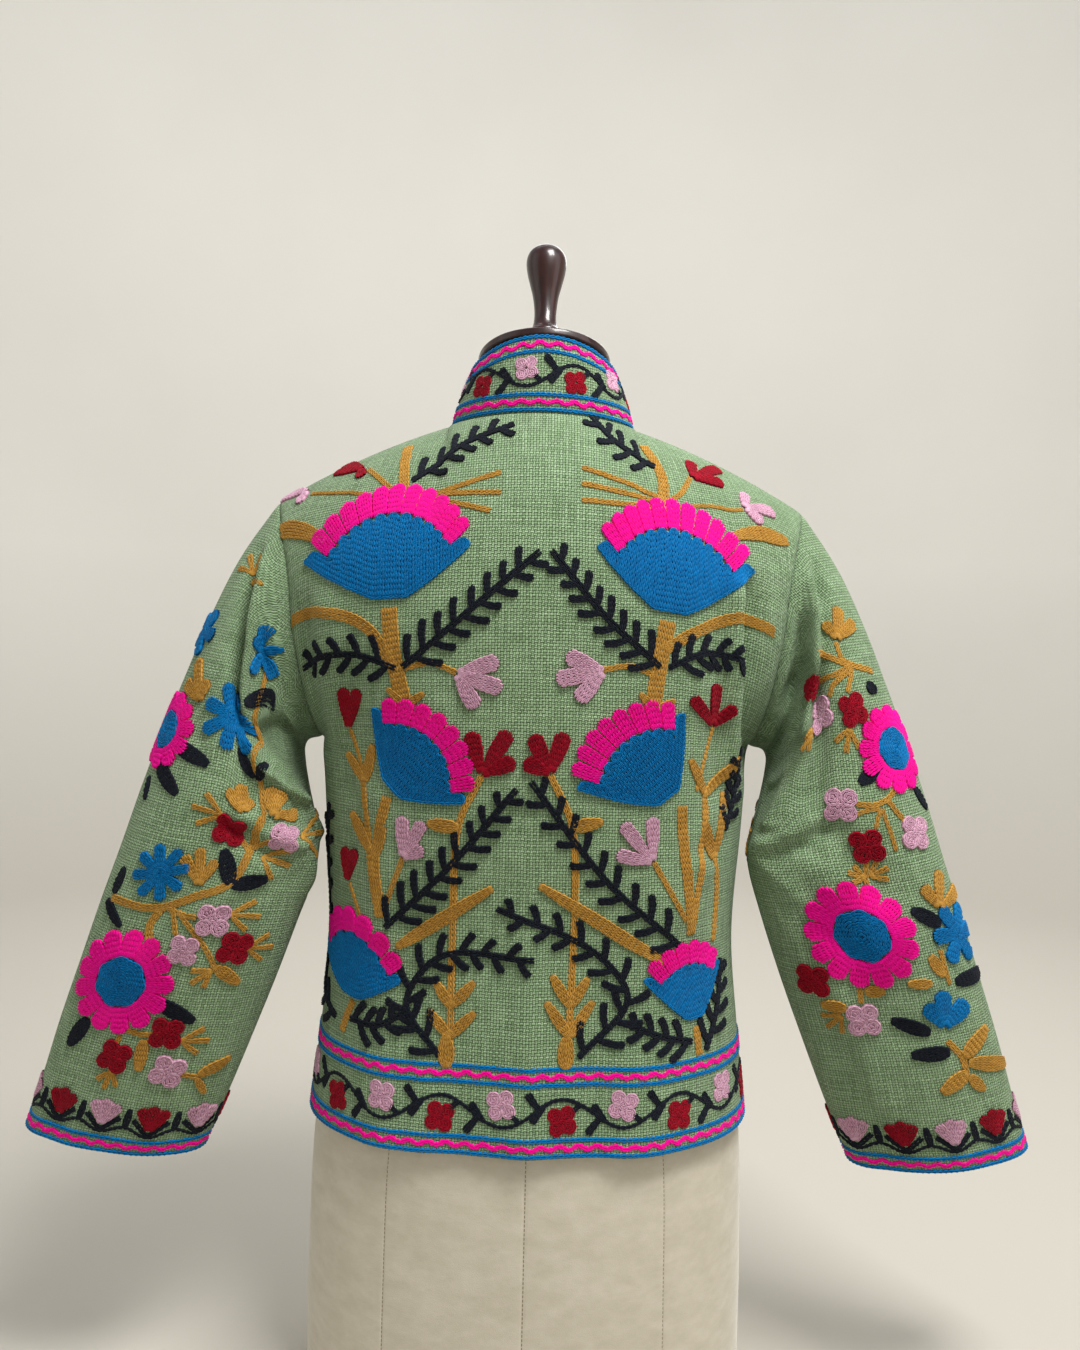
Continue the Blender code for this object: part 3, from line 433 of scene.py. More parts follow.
# spread, lift, then places along the crease
sleeveSteps = {
    left: (
        (0.0065, 0.0058, (0.02, 32), (0.07, 61), (0.126, 79), (0.213, 92), (0.29, 106)),
        (0.0090, 0.0030, (0.46, 96), (0.52, 124), (0.545, 150)),
        (0.0090, 0.0040, (0.40, 262), (0.30, 250), (0.16, 262), (0.06, 300)),
    ),
    right: (
        (0.0068, 0.0052, (0.02, 44), (0.055, 62), (0.090, 84), (0.150, 108), (0.21, 122)),
        (0.0085, 0.0028, (0.44, 104), (0.49, 130), (0.52, 160)),
        (0.0090, 0.0038, (0.38, 256), (0.26, 248), (0.12, 268), (0.05, 304)),
    ),
}


def sleeveLift(folds, along, around):
    lift = np.zeros(np.broadcast(along, around).shape)
    for alongA, aroundA, alongB, aroundB, spread, height in folds:
        ends = (
            alongA * sleeveSpan["reach"], math.radians(aroundA) * sleeveSpan["round"],
            alongB * sleeveSpan["reach"], math.radians(aroundB) * sleeveSpan["round"],
        )
        away = lineDistance(along * sleeveSpan["reach"], np.radians(around) * sleeveSpan["round"], *ends)
        lift += height * np.exp(-(away / spread) ** 2)
    return lift


def sleeveGrid(side, rows, columns):
    # columns run round from the inner edge by the front, the outer edge and the back
    degrees = np.linspace(-180, 180, columns, endpoint=False)
    rise = 3 - np.abs(degrees) / 90
    one = np.ones_like(rise)
    seamBack = torsoPoint(jacketShape, jacketTop, back, one, rise)
    seamFront = torsoPoint(jacketShape, jacketTop, front, one, rise)
    stations = [np.where((degrees >= 0)[:, None], seamBack, seamFront)]
    angle = np.radians(degrees)
    for outerX, outerZ, innerX, innerZ, centreY, halfDepth, squareness in sleeveSections:
        wide = np.sign(np.cos(angle)) * np.abs(np.cos(angle)) ** (2 / squareness)
        deep = np.sign(np.sin(angle)) * np.abs(np.sin(angle)) ** (2 / squareness)
        x = (outerX + innerX) / 2 + (outerX - innerX) / 2 * wide
        z = (outerZ + innerZ) / 2 + (outerZ - innerZ) / 2 * wide
        stations.append(np.stack([x, centreY + halfDepth * deep, z], -1))
    stations = np.array(stations)
    outerEdge = stations[:, columns // 2]
    places = np.concatenate([[0], np.cumsum(np.linalg.norm(np.diff(outerEdge, axis=0), axis=1))])
    along = np.linspace(0, 1, rows)
    grid = curveThrough(places / places[-1], stations, along)
    grid[..., 0] *= side
    outward = unit(grid - grid.mean(1, keepdims=True))
    around = np.where(degrees < 0, degrees + 360, degrees)[None, :]
    lengthwise, roundwise = along[:, None] * sleeveSpan["reach"], np.radians(around) * sleeveSpan["round"]
    steps = []
    for spread, height, *marks in sleeveSteps[side]:
        path = [(a * sleeveSpan["reach"], math.radians(r) * sleeveSpan["round"]) for a, r in marks]
        steps.append((spread, height, *path))
    lift = sleeveLift(sleeveFolds[side], along[:, None], around)
    lift *= np.clip(along / sleeveSpan["foldsBegin"], 0, 1)[:, None]
    fine = sleeveLift(sleeveCreases[side], along[:, None], around) * foldGain["sleeveCreases"]
    fine += stepLift(steps, lengthwise, roundwise) * foldGain["sleeveSteps"]
    lift += fine * np.clip(along / sleeveSpan["creasesBegin"], 0, 1)[:, None]
    return grid + outward * lift[..., None]


# the collar's shape
collar = {
    "topHalfWidth": 0.0605, "topBackDepth": 0.0605, "topFrontDepth": 0.0635, "topBack": 0.870,
    "topSide": 0.852, "topFront": 0.806, "rows": 22, "columns": 90, "bulge": 0.0012,
}


def collarTop(turn):
    angle = np.radians(turn)
    behind = turn <= 90
    depth = np.where(behind, collar["topBackDepth"], collar["topFrontDepth"])
    end = np.where(behind, collar["topBack"], collar["topFront"])
    z = mix(collar["topSide"], end, np.cos(angle) ** 2)
    return np.stack([collar["topHalfWidth"] * np.sin(angle), neck["centreY"] + depth * np.cos(angle), z], -1)


def collarGrid():
    last = 180 - 90 * partingShare(np.array([3.0]))[0] / neck["share"]
    turns = np.linspace(-last, last, collar["columns"] + 1)
    low = neckline(np.abs(turns))
    high = collarTop(np.abs(turns))
    share = np.linspace(0, 1, collar["rows"] + 1)[:, None, None]
    grid = mix(low[None], high[None], share)
    grid[..., 0] *= np.sign(turns)[None, :]
    outward = unit((grid - np.array([0, neck["centreY"], 0])) * np.array([1.0, 1.0, 0.0]))
    return grid + outward * (collar["bulge"] * np.sin(np.pi * share))


# cloth panels: an outer grid, its flat measures in metres, and the seams that it meets

jacket = {
    "wall": 0.0018, "seamGap": 0.0003, "seamDip": 0.0011, "seamSoftness": 0.0028, "seamReach": 0.004,
    "longestMitre": 2.2,
}


def stepsAlong(path, axis=0):
    # the running length along a path of places, from nought
    gaps = np.linalg.norm(np.diff(path, axis=axis), axis=-1)
    return np.concatenate([np.zeros_like(gaps.take([0], axis)), np.cumsum(gaps, axis=axis)], axis)


class ClothPanel:
    def __init__(self, name, grid, sewn, ringed=False, middleColumn=0, fromLastRow=False):
        self.name, self.sewn, self.ringed = name, sewn, ringed
        normals = gridNormals(grid, ringed)
        middle = grid.mean(1, keepdims=True) * (1.0 if ringed else np.array([0, 0, 1.0]))
        self.normals = normals if (normals * (grid - middle)).sum() > 0 else -normals
        closed = np.concatenate([grid, grid[:, :1]], 1) if ringed else grid
        across = stepsAlong(closed, 1)
        self.u = across - across[:, middleColumn:middleColumn + 1]
        up = stepsAlong(grid)
        up = up[-1:] - up if fromLastRow else up
        self.v = np.concatenate([up, up[:, :1]], 1) if ringed else up
        self.grid = grid
        self.edgeDistance = self.seamDistance()

    def rimIndex(self):
        rows, columns = self.grid.shape[:2]
        rims = {
            "foot": (0, slice(None)), "top": (rows - 1, slice(None)),
            "start": (slice(None), 0), "end": (slice(None), columns - 1),
        }
        return [rims[name] for name in self.sewn]

    def seamDistance(self):
        away = np.full(self.grid.shape[:2], 1.0)
        for index in self.rimIndex():
            rim = self.grid[index].reshape(-1, 3)
            for row in range(self.grid.shape[0]):
                gaps = np.linalg.norm(self.grid[row][:, None] - rim[None], axis=2).min(1)
                away[row] = np.minimum(away[row], gaps)
        return away


def settleSeams(panels):
    # the cloth rolls down into each seam, and both sides share one direction there
    rims = {}
    for panel in panels:
        rims[panel.name] = [(index, panel.grid[index], panel.normals[index]) for index in panel.rimIndex()]
    for panel in panels:
        others = [rim[1:] for name, group in rims.items() if name != panel.name for rim in group]
        shared = panel.normals.copy()
        mitre = np.ones(panel.grid.shape[:2])
        for index, points, normals in rims[panel.name]:
            total = normals.copy()
            for otherPoints, otherNormals in others:
                gaps = np.linalg.norm(points[:, None] - otherPoints[None], axis=2)
                nearest = gaps.argmin(1)
                total += otherNormals[nearest] * (gaps.min(1) < jacket["seamReach"])[:, None]
            total = unit(total)
            shared[index] = total
            mitre[index] = np.clip(1 / np.maximum((normals * total).sum(1), 0.1), 1, jacket["longestMitre"])
        dip = jacket["seamDip"] * np.exp(-(panel.edgeDistance / jacket["seamSoftness"]) ** 2)
        panel.outer = panel.grid - shared * dip[..., None]
        panel.inner = panel.outer - shared * (jacket["wall"] * mitre)[..., None]
        pullBack(panel)


def pullBack(panel):
    # each seam edge stands half of the gap back from its neighbour
    last = {"foot": (0, 1), "top": (-1, -2)}
    half = jacket["seamGap"] / 2
    for name in panel.sewn:
        for sheet in (panel.outer, panel.inner):
            if name in last:
                rim, inside = last[name]
                sheet[rim] += unit(sheet[inside] - sheet[rim]) * half
            else:
                rim, inside = (0, 1) if name == "start" else (-1, -2)
                sheet[:, rim] += unit(sheet[:, inside] - sheet[:, rim]) * half


def linkMesh(name, mesh, material):
    mesh.materials.append(material)
    item = bpy.data.objects.new(name, mesh)
    bpy.context.collection.objects.link(item)
    return item


def meshFromArrays(name, points, faces, material, uv=None, layerName="cloth"):
    mesh = bpy.data.meshes.new(name)
    mesh.vertices.add(len(points))
    mesh.vertices.foreach_set("co", np.asarray(points, np.float32).ravel())
    faces = np.asarray(faces)
    sides = faces.shape[1]
    mesh.loops.add(faces.size)
    mesh.loops.foreach_set("vertex_index", faces.ravel().astype(np.int32))
    mesh.polygons.add(len(faces))
    mesh.polygons.foreach_set("loop_start", np.arange(0, faces.size, sides, dtype=np.int32))
    mesh.update(calc_edges=True)
    mesh.validate()
    if uv is not None:
        layer = mesh.uv_layers.new(name=layerName)
        layer.data.foreach_set("uv", np.asarray(uv, np.float32)[faces.ravel()].ravel())
    mesh.shade_smooth()
    return linkMesh(name, mesh, material)


def gridFaces(rows, columns, ringed, first=0, flip=False):
    wide = columns if ringed else columns - 1
    row, column = np.meshgrid(np.arange(rows - 1), np.arange(wide), indexing="ij")
    beside = (column + 1) % columns
    a, b = first + row * columns + column, first + row * columns + beside
    c, d = first + (row + 1) * columns + beside, first + (row + 1) * columns + column
    faces = np.stack([a, b, c, d], -1).reshape(-1, 4)
    return faces[:, ::-1] if flip else faces


def rimFaces(path, shift):
    # joins a closed path of the outer side to the same path of the inner side
    after = np.roll(path, -1)
    return np.stack([path, after, after + shift, path + shift], -1)


def shellPiece(panel, material):
    rows, columns = panel.outer.shape[:2]
    count = rows * columns
    index = np.arange(count).reshape(rows, columns)
    if panel.ringed:
        rims = [rimFaces(index[0], count), rimFaces(index[-1][::-1], count)]
    else:
        path = np.concatenate([index[0], index[1:, -1], index[-1, -2::-1], index[-2:0:-1, 0]])
        rims = [rimFaces(path, count)]
    outerFaces = gridFaces(rows, columns, panel.ringed)
    innerFaces = gridFaces(rows, columns, panel.ringed, count, True)
    faces = np.concatenate([outerFaces, innerFaces] + [rim[:, ::-1] for rim in rims])
    points = np.concatenate([panel.outer.reshape(-1, 3), panel.inner.reshape(-1, 3)])
    flat = np.stack([panel.u[:, :columns], panel.v[:, :columns]], -1).reshape(-1, 2)
    corner = panel.outer[0, 0], panel.outer[0, 1], panel.outer[1, 0]
    facing = np.cross(corner[1] - corner[0], corner[2] - corner[0]) @ panel.normals[0, 0]
    faces = faces if facing > 0 else faces[:, ::-1]
    item = meshFromArrays(panel.name + "_cloth", points, faces, material, np.concatenate([flat, flat]))
    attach(item, "root")
    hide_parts(panel.name)
    return item


class ClothMap:
    # looks up places on a panel by its flat measures, and knows where the panel ends
    step, pastTop, pastFoot, lastCell = 0.004, 0.0002, 0.002, 1.001

    def __init__(self, panel):
        outer, normals = panel.outer, panel.normals
        if panel.ringed:
            outer = np.concatenate([outer, outer[:, :1]], 1)
            normals = np.concatenate([normals, normals[:, :1]], 1)
        v, u = panel.v, panel.u
        if v[0, 0] > v[-1, 0]:
            outer, normals, v, u = outer[::-1], normals[::-1], v[::-1], u[::-1]
        self.levels = np.arange(0, v.max() + self.step, self.step)
        self.topU, self.topV = u[-1], v[-1]
        self.lowU, highU = u.min(), u.max()
        self.columns = np.arange(self.lowU, highU + self.step, self.step)
        shape = (len(self.levels), len(self.columns))
        self.points, self.normals = np.zeros(shape + (3,)), np.zeros(shape + (3,))
        self.inside = np.zeros(shape, bool)
        rowIndex = np.arange(len(v))
        for i, level in enumerate(self.levels):
            at = np.array([np.interp(level, v[:, c], rowIndex) for c in range(v.shape[1])])
            over = np.maximum(level - v[-1], 0)
            held = over <= self.step
            column = np.flatnonzero(held)
            if len(column) < 2:
                continue
            low = np.minimum(at[held].astype(int), len(v) - 2)
            share = (at[held] - low + over[held] / (v[-1, column] - v[-2, column]))[:, None]
            place = mix(outer[low, column], outer[low + 1, column], share)
            facing = mix(normals[low, column], normals[low + 1, column], share)
            reach = mix(u[low, column], u[low + 1, column], share[:, 0])
            for axis in range(3):
                self.points[i, :, axis] = np.interp(self.columns, reach, place[:, axis])
                self.normals[i, :, axis] = np.interp(self.columns, reach, facing[:, axis])
            pastStart = self.columns >= reach.min() - self.step
            self.inside[i] = pastStart & (self.columns <= reach.max() + self.step)

    def look(self, u, v):
        i = np.clip(v / self.step, 0, len(self.levels) - self.lastCell)
        j = np.clip((u - self.lowU) / self.step, 0, len(self.columns) - self.lastCell)
        low, first = i.astype(int), j.astype(int)
        a, b = (i - low)[..., None], (j - first)[..., None]

        def blend(table):
            below = mix(table[low, first], table[low, first + 1], b)
            above = mix(table[low + 1, first], table[low + 1, first + 1], b)
            return mix(below, above, a)

        held = self.inside[low, first] & self.inside[low + 1, first + 1] & (v > -self.pastFoot)
        held &= v < np.interp(u, self.topU, self.topV) + self.pastTop
        return blend(self.points), unit(blend(self.normals)), held


gridSize = {"backColumns": 58, "frontColumns": 54, "sleeveRows": 124, "sleeveColumns": 112}


def makePanels():
    halfBack = {side: halfFace(back, side, gridSize["backColumns"]) for side in (left, right)}
    wholeBack = np.concatenate([halfBack[right][:, :0:-1], halfBack[left]], 1)
    middle = halfBack[left].shape[1] - 1
    halfFront = {side: halfFace(front, side, gridSize["frontColumns"]) for side in (left, right)}
    rows, columns = gridSize["sleeveRows"], gridSize["sleeveColumns"]
    sleeve = {side: sleeveGrid(side, rows, columns) for side in (left, right)}
    outerEdge = columns // 2
    panels = [
        ClothPanel("back_panel", wholeBack, ("top", "start", "end"), middleColumn=middle),
        ClothPanel("left_front", halfFront[left], ("top", "end")),
        ClothPanel("right_front", halfFront[right], ("top", "end")),
        ClothPanel("left_sleeve", sleeve[left], ("foot",), True, outerEdge, True),
        ClothPanel("right_sleeve", sleeve[right], ("foot",), True, outerEdge, True),
        ClothPanel("collar", collarGrid(), ("foot",), middleColumn=collar["columns"] // 2),
    ]
    settleSeams(panels)
    return {panel.name: panel for panel in panels}


panels = makePanels()
maps = {name: ClothMap(panel) for name, panel in panels.items()}
print("cloth surfaces worked out")


# materials, built from expressions on sockets

class Value:
    def __init__(self, look, socket):
        self.look, self.socket = look, socket

    def mathNode(self, operation, *others):
        inputs = {place: item for place, item in enumerate(others)}
        return self.look.add("ShaderNodeMath", {"operation": operation}, inputs)

    def __add__(self, other):
        return self.mathNode("ADD", self, other)

    def __radd__(self, other):
        return self.mathNode("ADD", other, self)

    def __sub__(self, other):
        return self.mathNode("SUBTRACT", self, other)

    def __rsub__(self, other):
        return self.mathNode("SUBTRACT", other, self)

    def __mul__(self, other):
        return self.mathNode("MULTIPLY", self, other)

    def __rmul__(self, other):
        return self.mathNode("MULTIPLY", other, self)

    def sine(self):
        return self.mathNode("SINE", self)

    def size(self):
        return self.mathNode("ABSOLUTE", self)

    def above(self, other):
        return self.mathNode("GREATER_THAN", self, other)

    def clamped(self):
        return self.look.add("ShaderNodeClamp", {}, {"Value": self})


class Look:
    # one material and its nodes
    def __init__(self, name):
        self.material = bpy.data.materials.new(name)
        self.material.use_nodes = True
        self.tree = self.material.node_tree
        self.tree.nodes.clear()

    def add(self, kind, settings=None, inputs=None, output=0):
        item = self.tree.nodes.new(kind)
        for key, value in (settings or {}).items():
            setattr(item, key, value)
        for key, value in (inputs or {}).items():
            if isinstance(value, Value):
                self.tree.links.new(value.socket, item.inputs[key])
            else:
                item.inputs[key].default_value = value
        return None if output is None else Value(self, item.outputs[output])

    def blend(self, share, low, high):
        settings = {"data_type": "RGBA", "clamp_factor": True}
        return self.add("ShaderNodeMix", settings, {0: share, 6: low, 7: high}, 2)

    def flat(self):
        place = self.add("ShaderNodeUVMap", {"uv_map": "cloth"})
        u = self.add("ShaderNodeSeparateXYZ", {}, {0: place}, 0)
        v = self.add("ShaderNodeSeparateXYZ", {}, {0: place}, 1)
        return place, u, v

    def place(self):
        return self.add("ShaderNodeTexCoord", output="Object")

    def stretched(self, where, scale):
        return self.add("ShaderNodeVectorMath", {"operation": "MULTIPLY"}, {0: where, 1: scale})

    def noise(self, where, scale, detail=2.0, roughness=0.5):
        inputs = {"Vector": where, "Scale": scale, "Detail": detail, "Roughness": roughness}
        return self.add("ShaderNodeTexNoise", {}, inputs)

    def bump(self, height, strength, distance):
        return self.add("ShaderNodeBump", {}, {"Height": height, "Strength": strength, "Distance": distance})

    def finish(self, inputs):
        shader = self.add("ShaderNodeBsdfPrincipled", {}, inputs)
        self.add("ShaderNodeOutputMaterial", {}, {"Surface": shader}, None)
        return self.material


def paint(red, green, blue):  # screen values from 0 to 255
    parts = [v / 255 for v in (red, green, blue)]
    return tuple(v / 12.92 if v <= 0.04045 else ((v + 0.055) / 1.055) ** 2.4 for v in parts) + (1.0,)


# the gap colour is painted shade in the recesses between the threads
cloth = {
    "gap": paint(54, 74, 44), "body": paint(131, 159, 119), "light": paint(172, 201, 160),
    "dull": paint(110, 137, 98), "cell": 0.0023, "cellWander": 0.0007, "threadWander": 0.0004, "flank": 0.72,
    "slubScale": 420.0, "slubLong": 0.08, "wanderScale": 260.0, "broadScale": 22.0, "roughness": 0.9,
    "sheen": 0.12, "sheenRoughness": 0.5, "specular": 0.25, "bumpStrength": 0.9, "bumpDepth": 0.0008,
}


def sageCloth():
    look = Look("sage_cloth_weave")
    place, u, v = look.flat()
    wander = look.noise(place, cloth["wanderScale"], 2.0) - 0.5
    slubAcross = look.noise(look.stretched(place, (cloth["slubLong"], 1.0, 1.0)), cloth["slubScale"])
    slubUp = look.noise(look.stretched(place, (1.0, cloth["slubLong"], 1.0)), cloth["slubScale"])
    turn, cellShift, threadShift = math.pi / cloth["cell"], cloth["cellWander"], cloth["threadWander"]
    waveU = ((u + wander * cellShift) * turn).sine()
    waveV = ((v + wander * cellShift) * turn).sine()
    swap = (waveU * waveV).above(0.0)
    fineU = ((u + wander * threadShift) * (turn * 2)).sine().size()
    fineV = ((v + wander * threadShift) * (turn * 2)).sine().size()
    overU = waveU.size() * (cloth["flank"] + fineV * (1 - cloth["flank"]))
    overV = waveV.size() * (cloth["flank"] + fineU * (1 - cloth["flank"]))
    height = swap * overU + (1 - swap) * overV
    slub = swap * slubUp + (1 - swap) * slubAcross
    height = height * (0.7 + slub * 0.6)
    broad = look.noise(place, cloth["broadScale"], 3.0)
    threadColour = look.blend(((slub - 0.32) * 2.4).clamped(), cloth["dull"], cloth["light"])
    threadColour = look.blend(((broad - 0.35) * 1.5).clamped() * 0.6, threadColour, cloth["body"])
    # painted shade: the low places between the threads take the dark gap colour
    colour = look.blend(((height - 0.20) * 2.3).clamped(), cloth["gap"], threadColour)
    return look.finish({
        "Base Color": colour, "Roughness": cloth["roughness"], "Sheen Weight": cloth["sheen"],
        "Sheen Roughness": cloth["sheenRoughness"], "Specular IOR Level": cloth["specular"],
        "Normal": look.bump(height, cloth["bumpStrength"], cloth["bumpDepth"]),
    })


velvet = {
    "nap": paint(200, 193, 175), "brushed": paint(212, 205, 189), "crushed": paint(190, 182, 163),
    "roughness": 0.8, "sheen": 0.4, "sheenRoughness": 0.35, "specular": 0.2, "patchScale": 48.0,
    "streakScale": 90.0, "pileScale": 1500.0, "bumpStrength": 0.35, "bumpDepth": 0.0005,
}


def creamVelvet():
    look = Look("cream_velvet_nap")
    place = look.place()
    stretched = look.stretched(place, (0.8, 0.8, 1.5))
    patches = look.noise(stretched, velvet["patchScale"], 5.0, 0.66)
    streaks = look.noise(stretched, velvet["streakScale"], 3.0, 0.6)
    pile = look.noise(place, velvet["pileScale"], 1.0)
    colour = look.blend(((patches - 0.36) * 3.2).clamped(), velvet["nap"], velvet["brushed"])
    colour = look.blend(((streaks - 0.55) * 4.0).clamped() * 0.4, colour, velvet["crushed"])
    return look.finish({
        "Base Color": colour, "Roughness": velvet["roughness"] - (patches - 0.5) * 0.2,
        "Sheen Weight": velvet["sheen"], "Sheen Roughness": velvet["sheenRoughness"],
        "Specular IOR Level": velvet["specular"],
        "Normal": look.bump(pile + patches * 1.5, velvet["bumpStrength"], velvet["bumpDepth"]),
    })


wood = {
    "dark": paint(26, 6, 5), "grain": paint(58, 19, 15), "grainScale": 190.0, "grainLong": 0.12,
    "roughness": 0.28, "coat": 0.35, "coatRoughness": 0.06, "specular": 0.35, "bumpStrength": 0.10,
    "bumpDepth": 0.0004,
}


def darkWood(name):
    look = Look(name)
    place = look.place()
    grain = look.noise(look.stretched(place, (1.0, 1.0, wood["grainLong"])), wood["grainScale"], 4.0, 0.6)
    colour = look.blend(((grain - 0.35) * 2.2).clamped(), wood["dark"], wood["grain"])
    return look.finish({
        "Base Color": colour, "Roughness": wood["roughness"] + grain * 0.12, "Coat Weight": wood["coat"],
        "Coat Roughness": wood["coatRoughness"], "Specular IOR Level": wood["specular"],
        "Normal": look.bump(grain, wood["bumpStrength"], wood["bumpDepth"]),
    })


# each thread's dark and light colour: painted shade for the grooves and painted light for the plies' crowns,
# also mixed by a random tone
threads = {
    "blue": (paint(0, 74, 132), paint(0, 128, 196)), "pink": (paint(232, 0, 126), paint(255, 6, 168)),
    "gold": (paint(132, 90, 28), paint(208, 158, 72)), "crimson": (paint(88, 0, 14), paint(168, 6, 36)),
    "rose": (paint(168, 112, 140), paint(226, 182, 204)), "navy": (paint(8, 10, 16), paint(28, 34, 46)),
}
thread = {
    "fibreScale": 1100.0, "toneScale": 150.0, "bow": 0.34, "narrow": 0.24, "plyPeak": 1.35, "plySlope": 3.0,
    "roughness": 0.9, "sheen": 0.05, "sheenRoughness": 0.5, "specular": 0.15, "bumpStrength": 0.8,
    "bumpDepth": 0.0005,
}


def threadLook(name):
    # two plies bowing out from a middle in painted shade, one loop for each stitch; the plies' crowns are
    # painted light and their edges painted shade
    look = Look(name + "_thread")
    low, high = threads[name]
    uv = look.add("ShaderNodeUVMap", {"uv_map": "thread"})
    over = look.add("ShaderNodeSeparateXYZ", {}, {0: uv}, 0).size()
    along = look.add("ShaderNodeSeparateXYZ", {}, {0: uv}, 1)
    place = look.place()
    fibre = look.noise(place, thread["fibreScale"], 2.0, 0.6)
    tone = look.noise(place, thread["toneScale"], 1.0)
    bow = (along * math.pi).sine().size() * thread["bow"] + thread["narrow"]
    plyReliefAndShade = (thread["plyPeak"] - (over - bow).size() * thread["plySlope"]).clamped()
    plyReliefAndShade = plyReliefAndShade * (0.75 + fibre * 0.5)
    # painted shade and light: the ply crowns take the light colour and the grooves the dark one, with a
    # random tone mixed in
    colour = look.blend((plyReliefAndShade * 0.85 + tone * 0.5 - 0.25).clamped(), low, high)
    return look.finish({
        "Base Color": colour, "Roughness": thread["roughness"], "Sheen Weight": thread["sheen"],
        "Sheen Roughness": thread["sheenRoughness"], "Specular IOR Level": thread["specular"],
        "Normal": look.bump(plyReliefAndShade, thread["bumpStrength"], thread["bumpDepth"]),
    })


sageMaterial = sageCloth()
velvetMaterial = creamVelvet()
threadMaterials = {name: threadLook(name) for name in threads}
print("materials made")

pieces = {name: shellPiece(panel, sageMaterial) for name, panel in panels.items()}
print("cloth panels made")


# the dress form: velvet skin, dark wood plate and knob

form = {
    "armCrown": 0.006, "neckHollow": 0.003, "neckTopRadius": 0.0525, "neckSteps": 16, "plateTilt": 16.0,
    "plateCentre": (0.0, -0.004, 0.8605), "plateRadius": 0.0555, "plateThickness": 0.008,
    "plateRound": 0.0025, "seamDepth": 0.0007, "seamWidth": 0.0022, "topFade": 2.95, "armSide": 0.95,
    "footRound": 0.003, "princess": 0.37, "seat": 0.0003, "sides": 80,
}
# the seams' shares of the way across: centre, princess seam and side
formSeams = (0.0, form["princess"], 1.0)
# the knob's height over the plate and its radius
finialProfile = (
    (0.0, 0.0190), (0.0035, 0.0190), (0.0065, 0.0160), (0.0120, 0.0128), (0.0175, 0.0122),
    (0.0205, 0.0146), (0.0245, 0.0146), (0.0275, 0.0116), (0.0360, 0.0097), (0.0470, 0.0096),
    (0.0600, 0.0112), (0.0720, 0.0140), (0.0830, 0.0165), (0.0915, 0.0173), (0.0985, 0.0158),
    (0.1035, 0.0115), (0.1060, 0.0055),
)
# the rounded tip: rise over the last height and inset from its radius
knobTip = ((0.0006, 0.0018), (0.0009, 0.0036))
plateTurn = Matrix.Rotation(math.radians(form["plateTilt"]), 4, "X")
plateFrame = Matrix.Translation(form["plateCentre"]) @ plateTurn


def withSeams(steps, seams, half=0.0055):
    extra = [seam + offset for seam in seams for offset in (-half, -half / 2.2, 0, half / 2.2, half)]
    kept = [v for v in steps if all(abs(v - seam) > half * 1.5 for seam in seams)]
    return np.array(sorted(v for v in set(kept + extra) if 0 <= v <= 1))


def formQuarter(face, side):
    neckSteps = np.linspace(0, neck["share"], form["neckSteps"])
    sideSteps = np.linspace(neck["share"], 1, 26)[1:]
    across = withSeams(list(neckSteps) + list(sideSteps), formSeams)
    footSteps, bodySteps = [0, 0.0022, 0.0065], np.linspace(0, 1, 50)[1:]
    rise = np.concatenate([footSteps, bodySteps, np.linspace(1, 2, 18)[1:], np.linspace(2, 3, 26)[1:]])
    wholeAcross, wholeRise = across[None, :].repeat(len(rise), 0), rise[:, None].repeat(len(across), 1)
    grid = torsoPoint(formShape, formTop, face, wholeAcross, wholeRise)
    grid[..., 0] *= side
    away = unit(grid * outwardPull)
    groove = np.zeros(len(across))
    for seam in formSeams:
        groove = np.maximum(groove, np.exp(-((across - seam) / form["seamWidth"]) ** 2))
    # a groove ends under the neck, and the side's one under the arm
    held = np.clip((form["topFade"] - wholeRise) / 0.1, 0, 1)
    held *= (wholeRise <= 1) | (wholeAcross < form["armSide"])
    grid -= away * (form["seamDepth"] * groove[None, :] * held)[..., None]
    grid[0] -= away[0] * form["footRound"]
    grid[1] -= away[1] * form["footRound"] * 0.3
    return grid, rise, across


def meshFromRings(name, points, faces, material):
    mesh = bpy.data.meshes.new(name)
    mesh.from_pydata([tuple(p) for p in points], [], faces)
    work = bmesh.new()
    work.from_mesh(mesh)
    bmesh.ops.remove_doubles(work, verts=work.verts, dist=0.00002)
    bmesh.ops.recalc_face_normals(work, faces=work.faces)
    for face in work.faces:
        face.smooth = len(face.verts) <= 4
    work.to_mesh(mesh)
    work.free()
    return linkMesh(name, mesh, material)


def ringBands(rings, points, faces):
    # joins each ring, a closed list of places, to the next one
    firsts = []
    for ring in rings:
        firsts.append(len(points))
        points.extend(ring)
    count = len(rings[0])
    for low, high in zip(firsts, firsts[1:]):
        for i in range(count):
            after = (i + 1) % count
            faces.append((low + i, low + after, high + after, high + i))
    return firsts


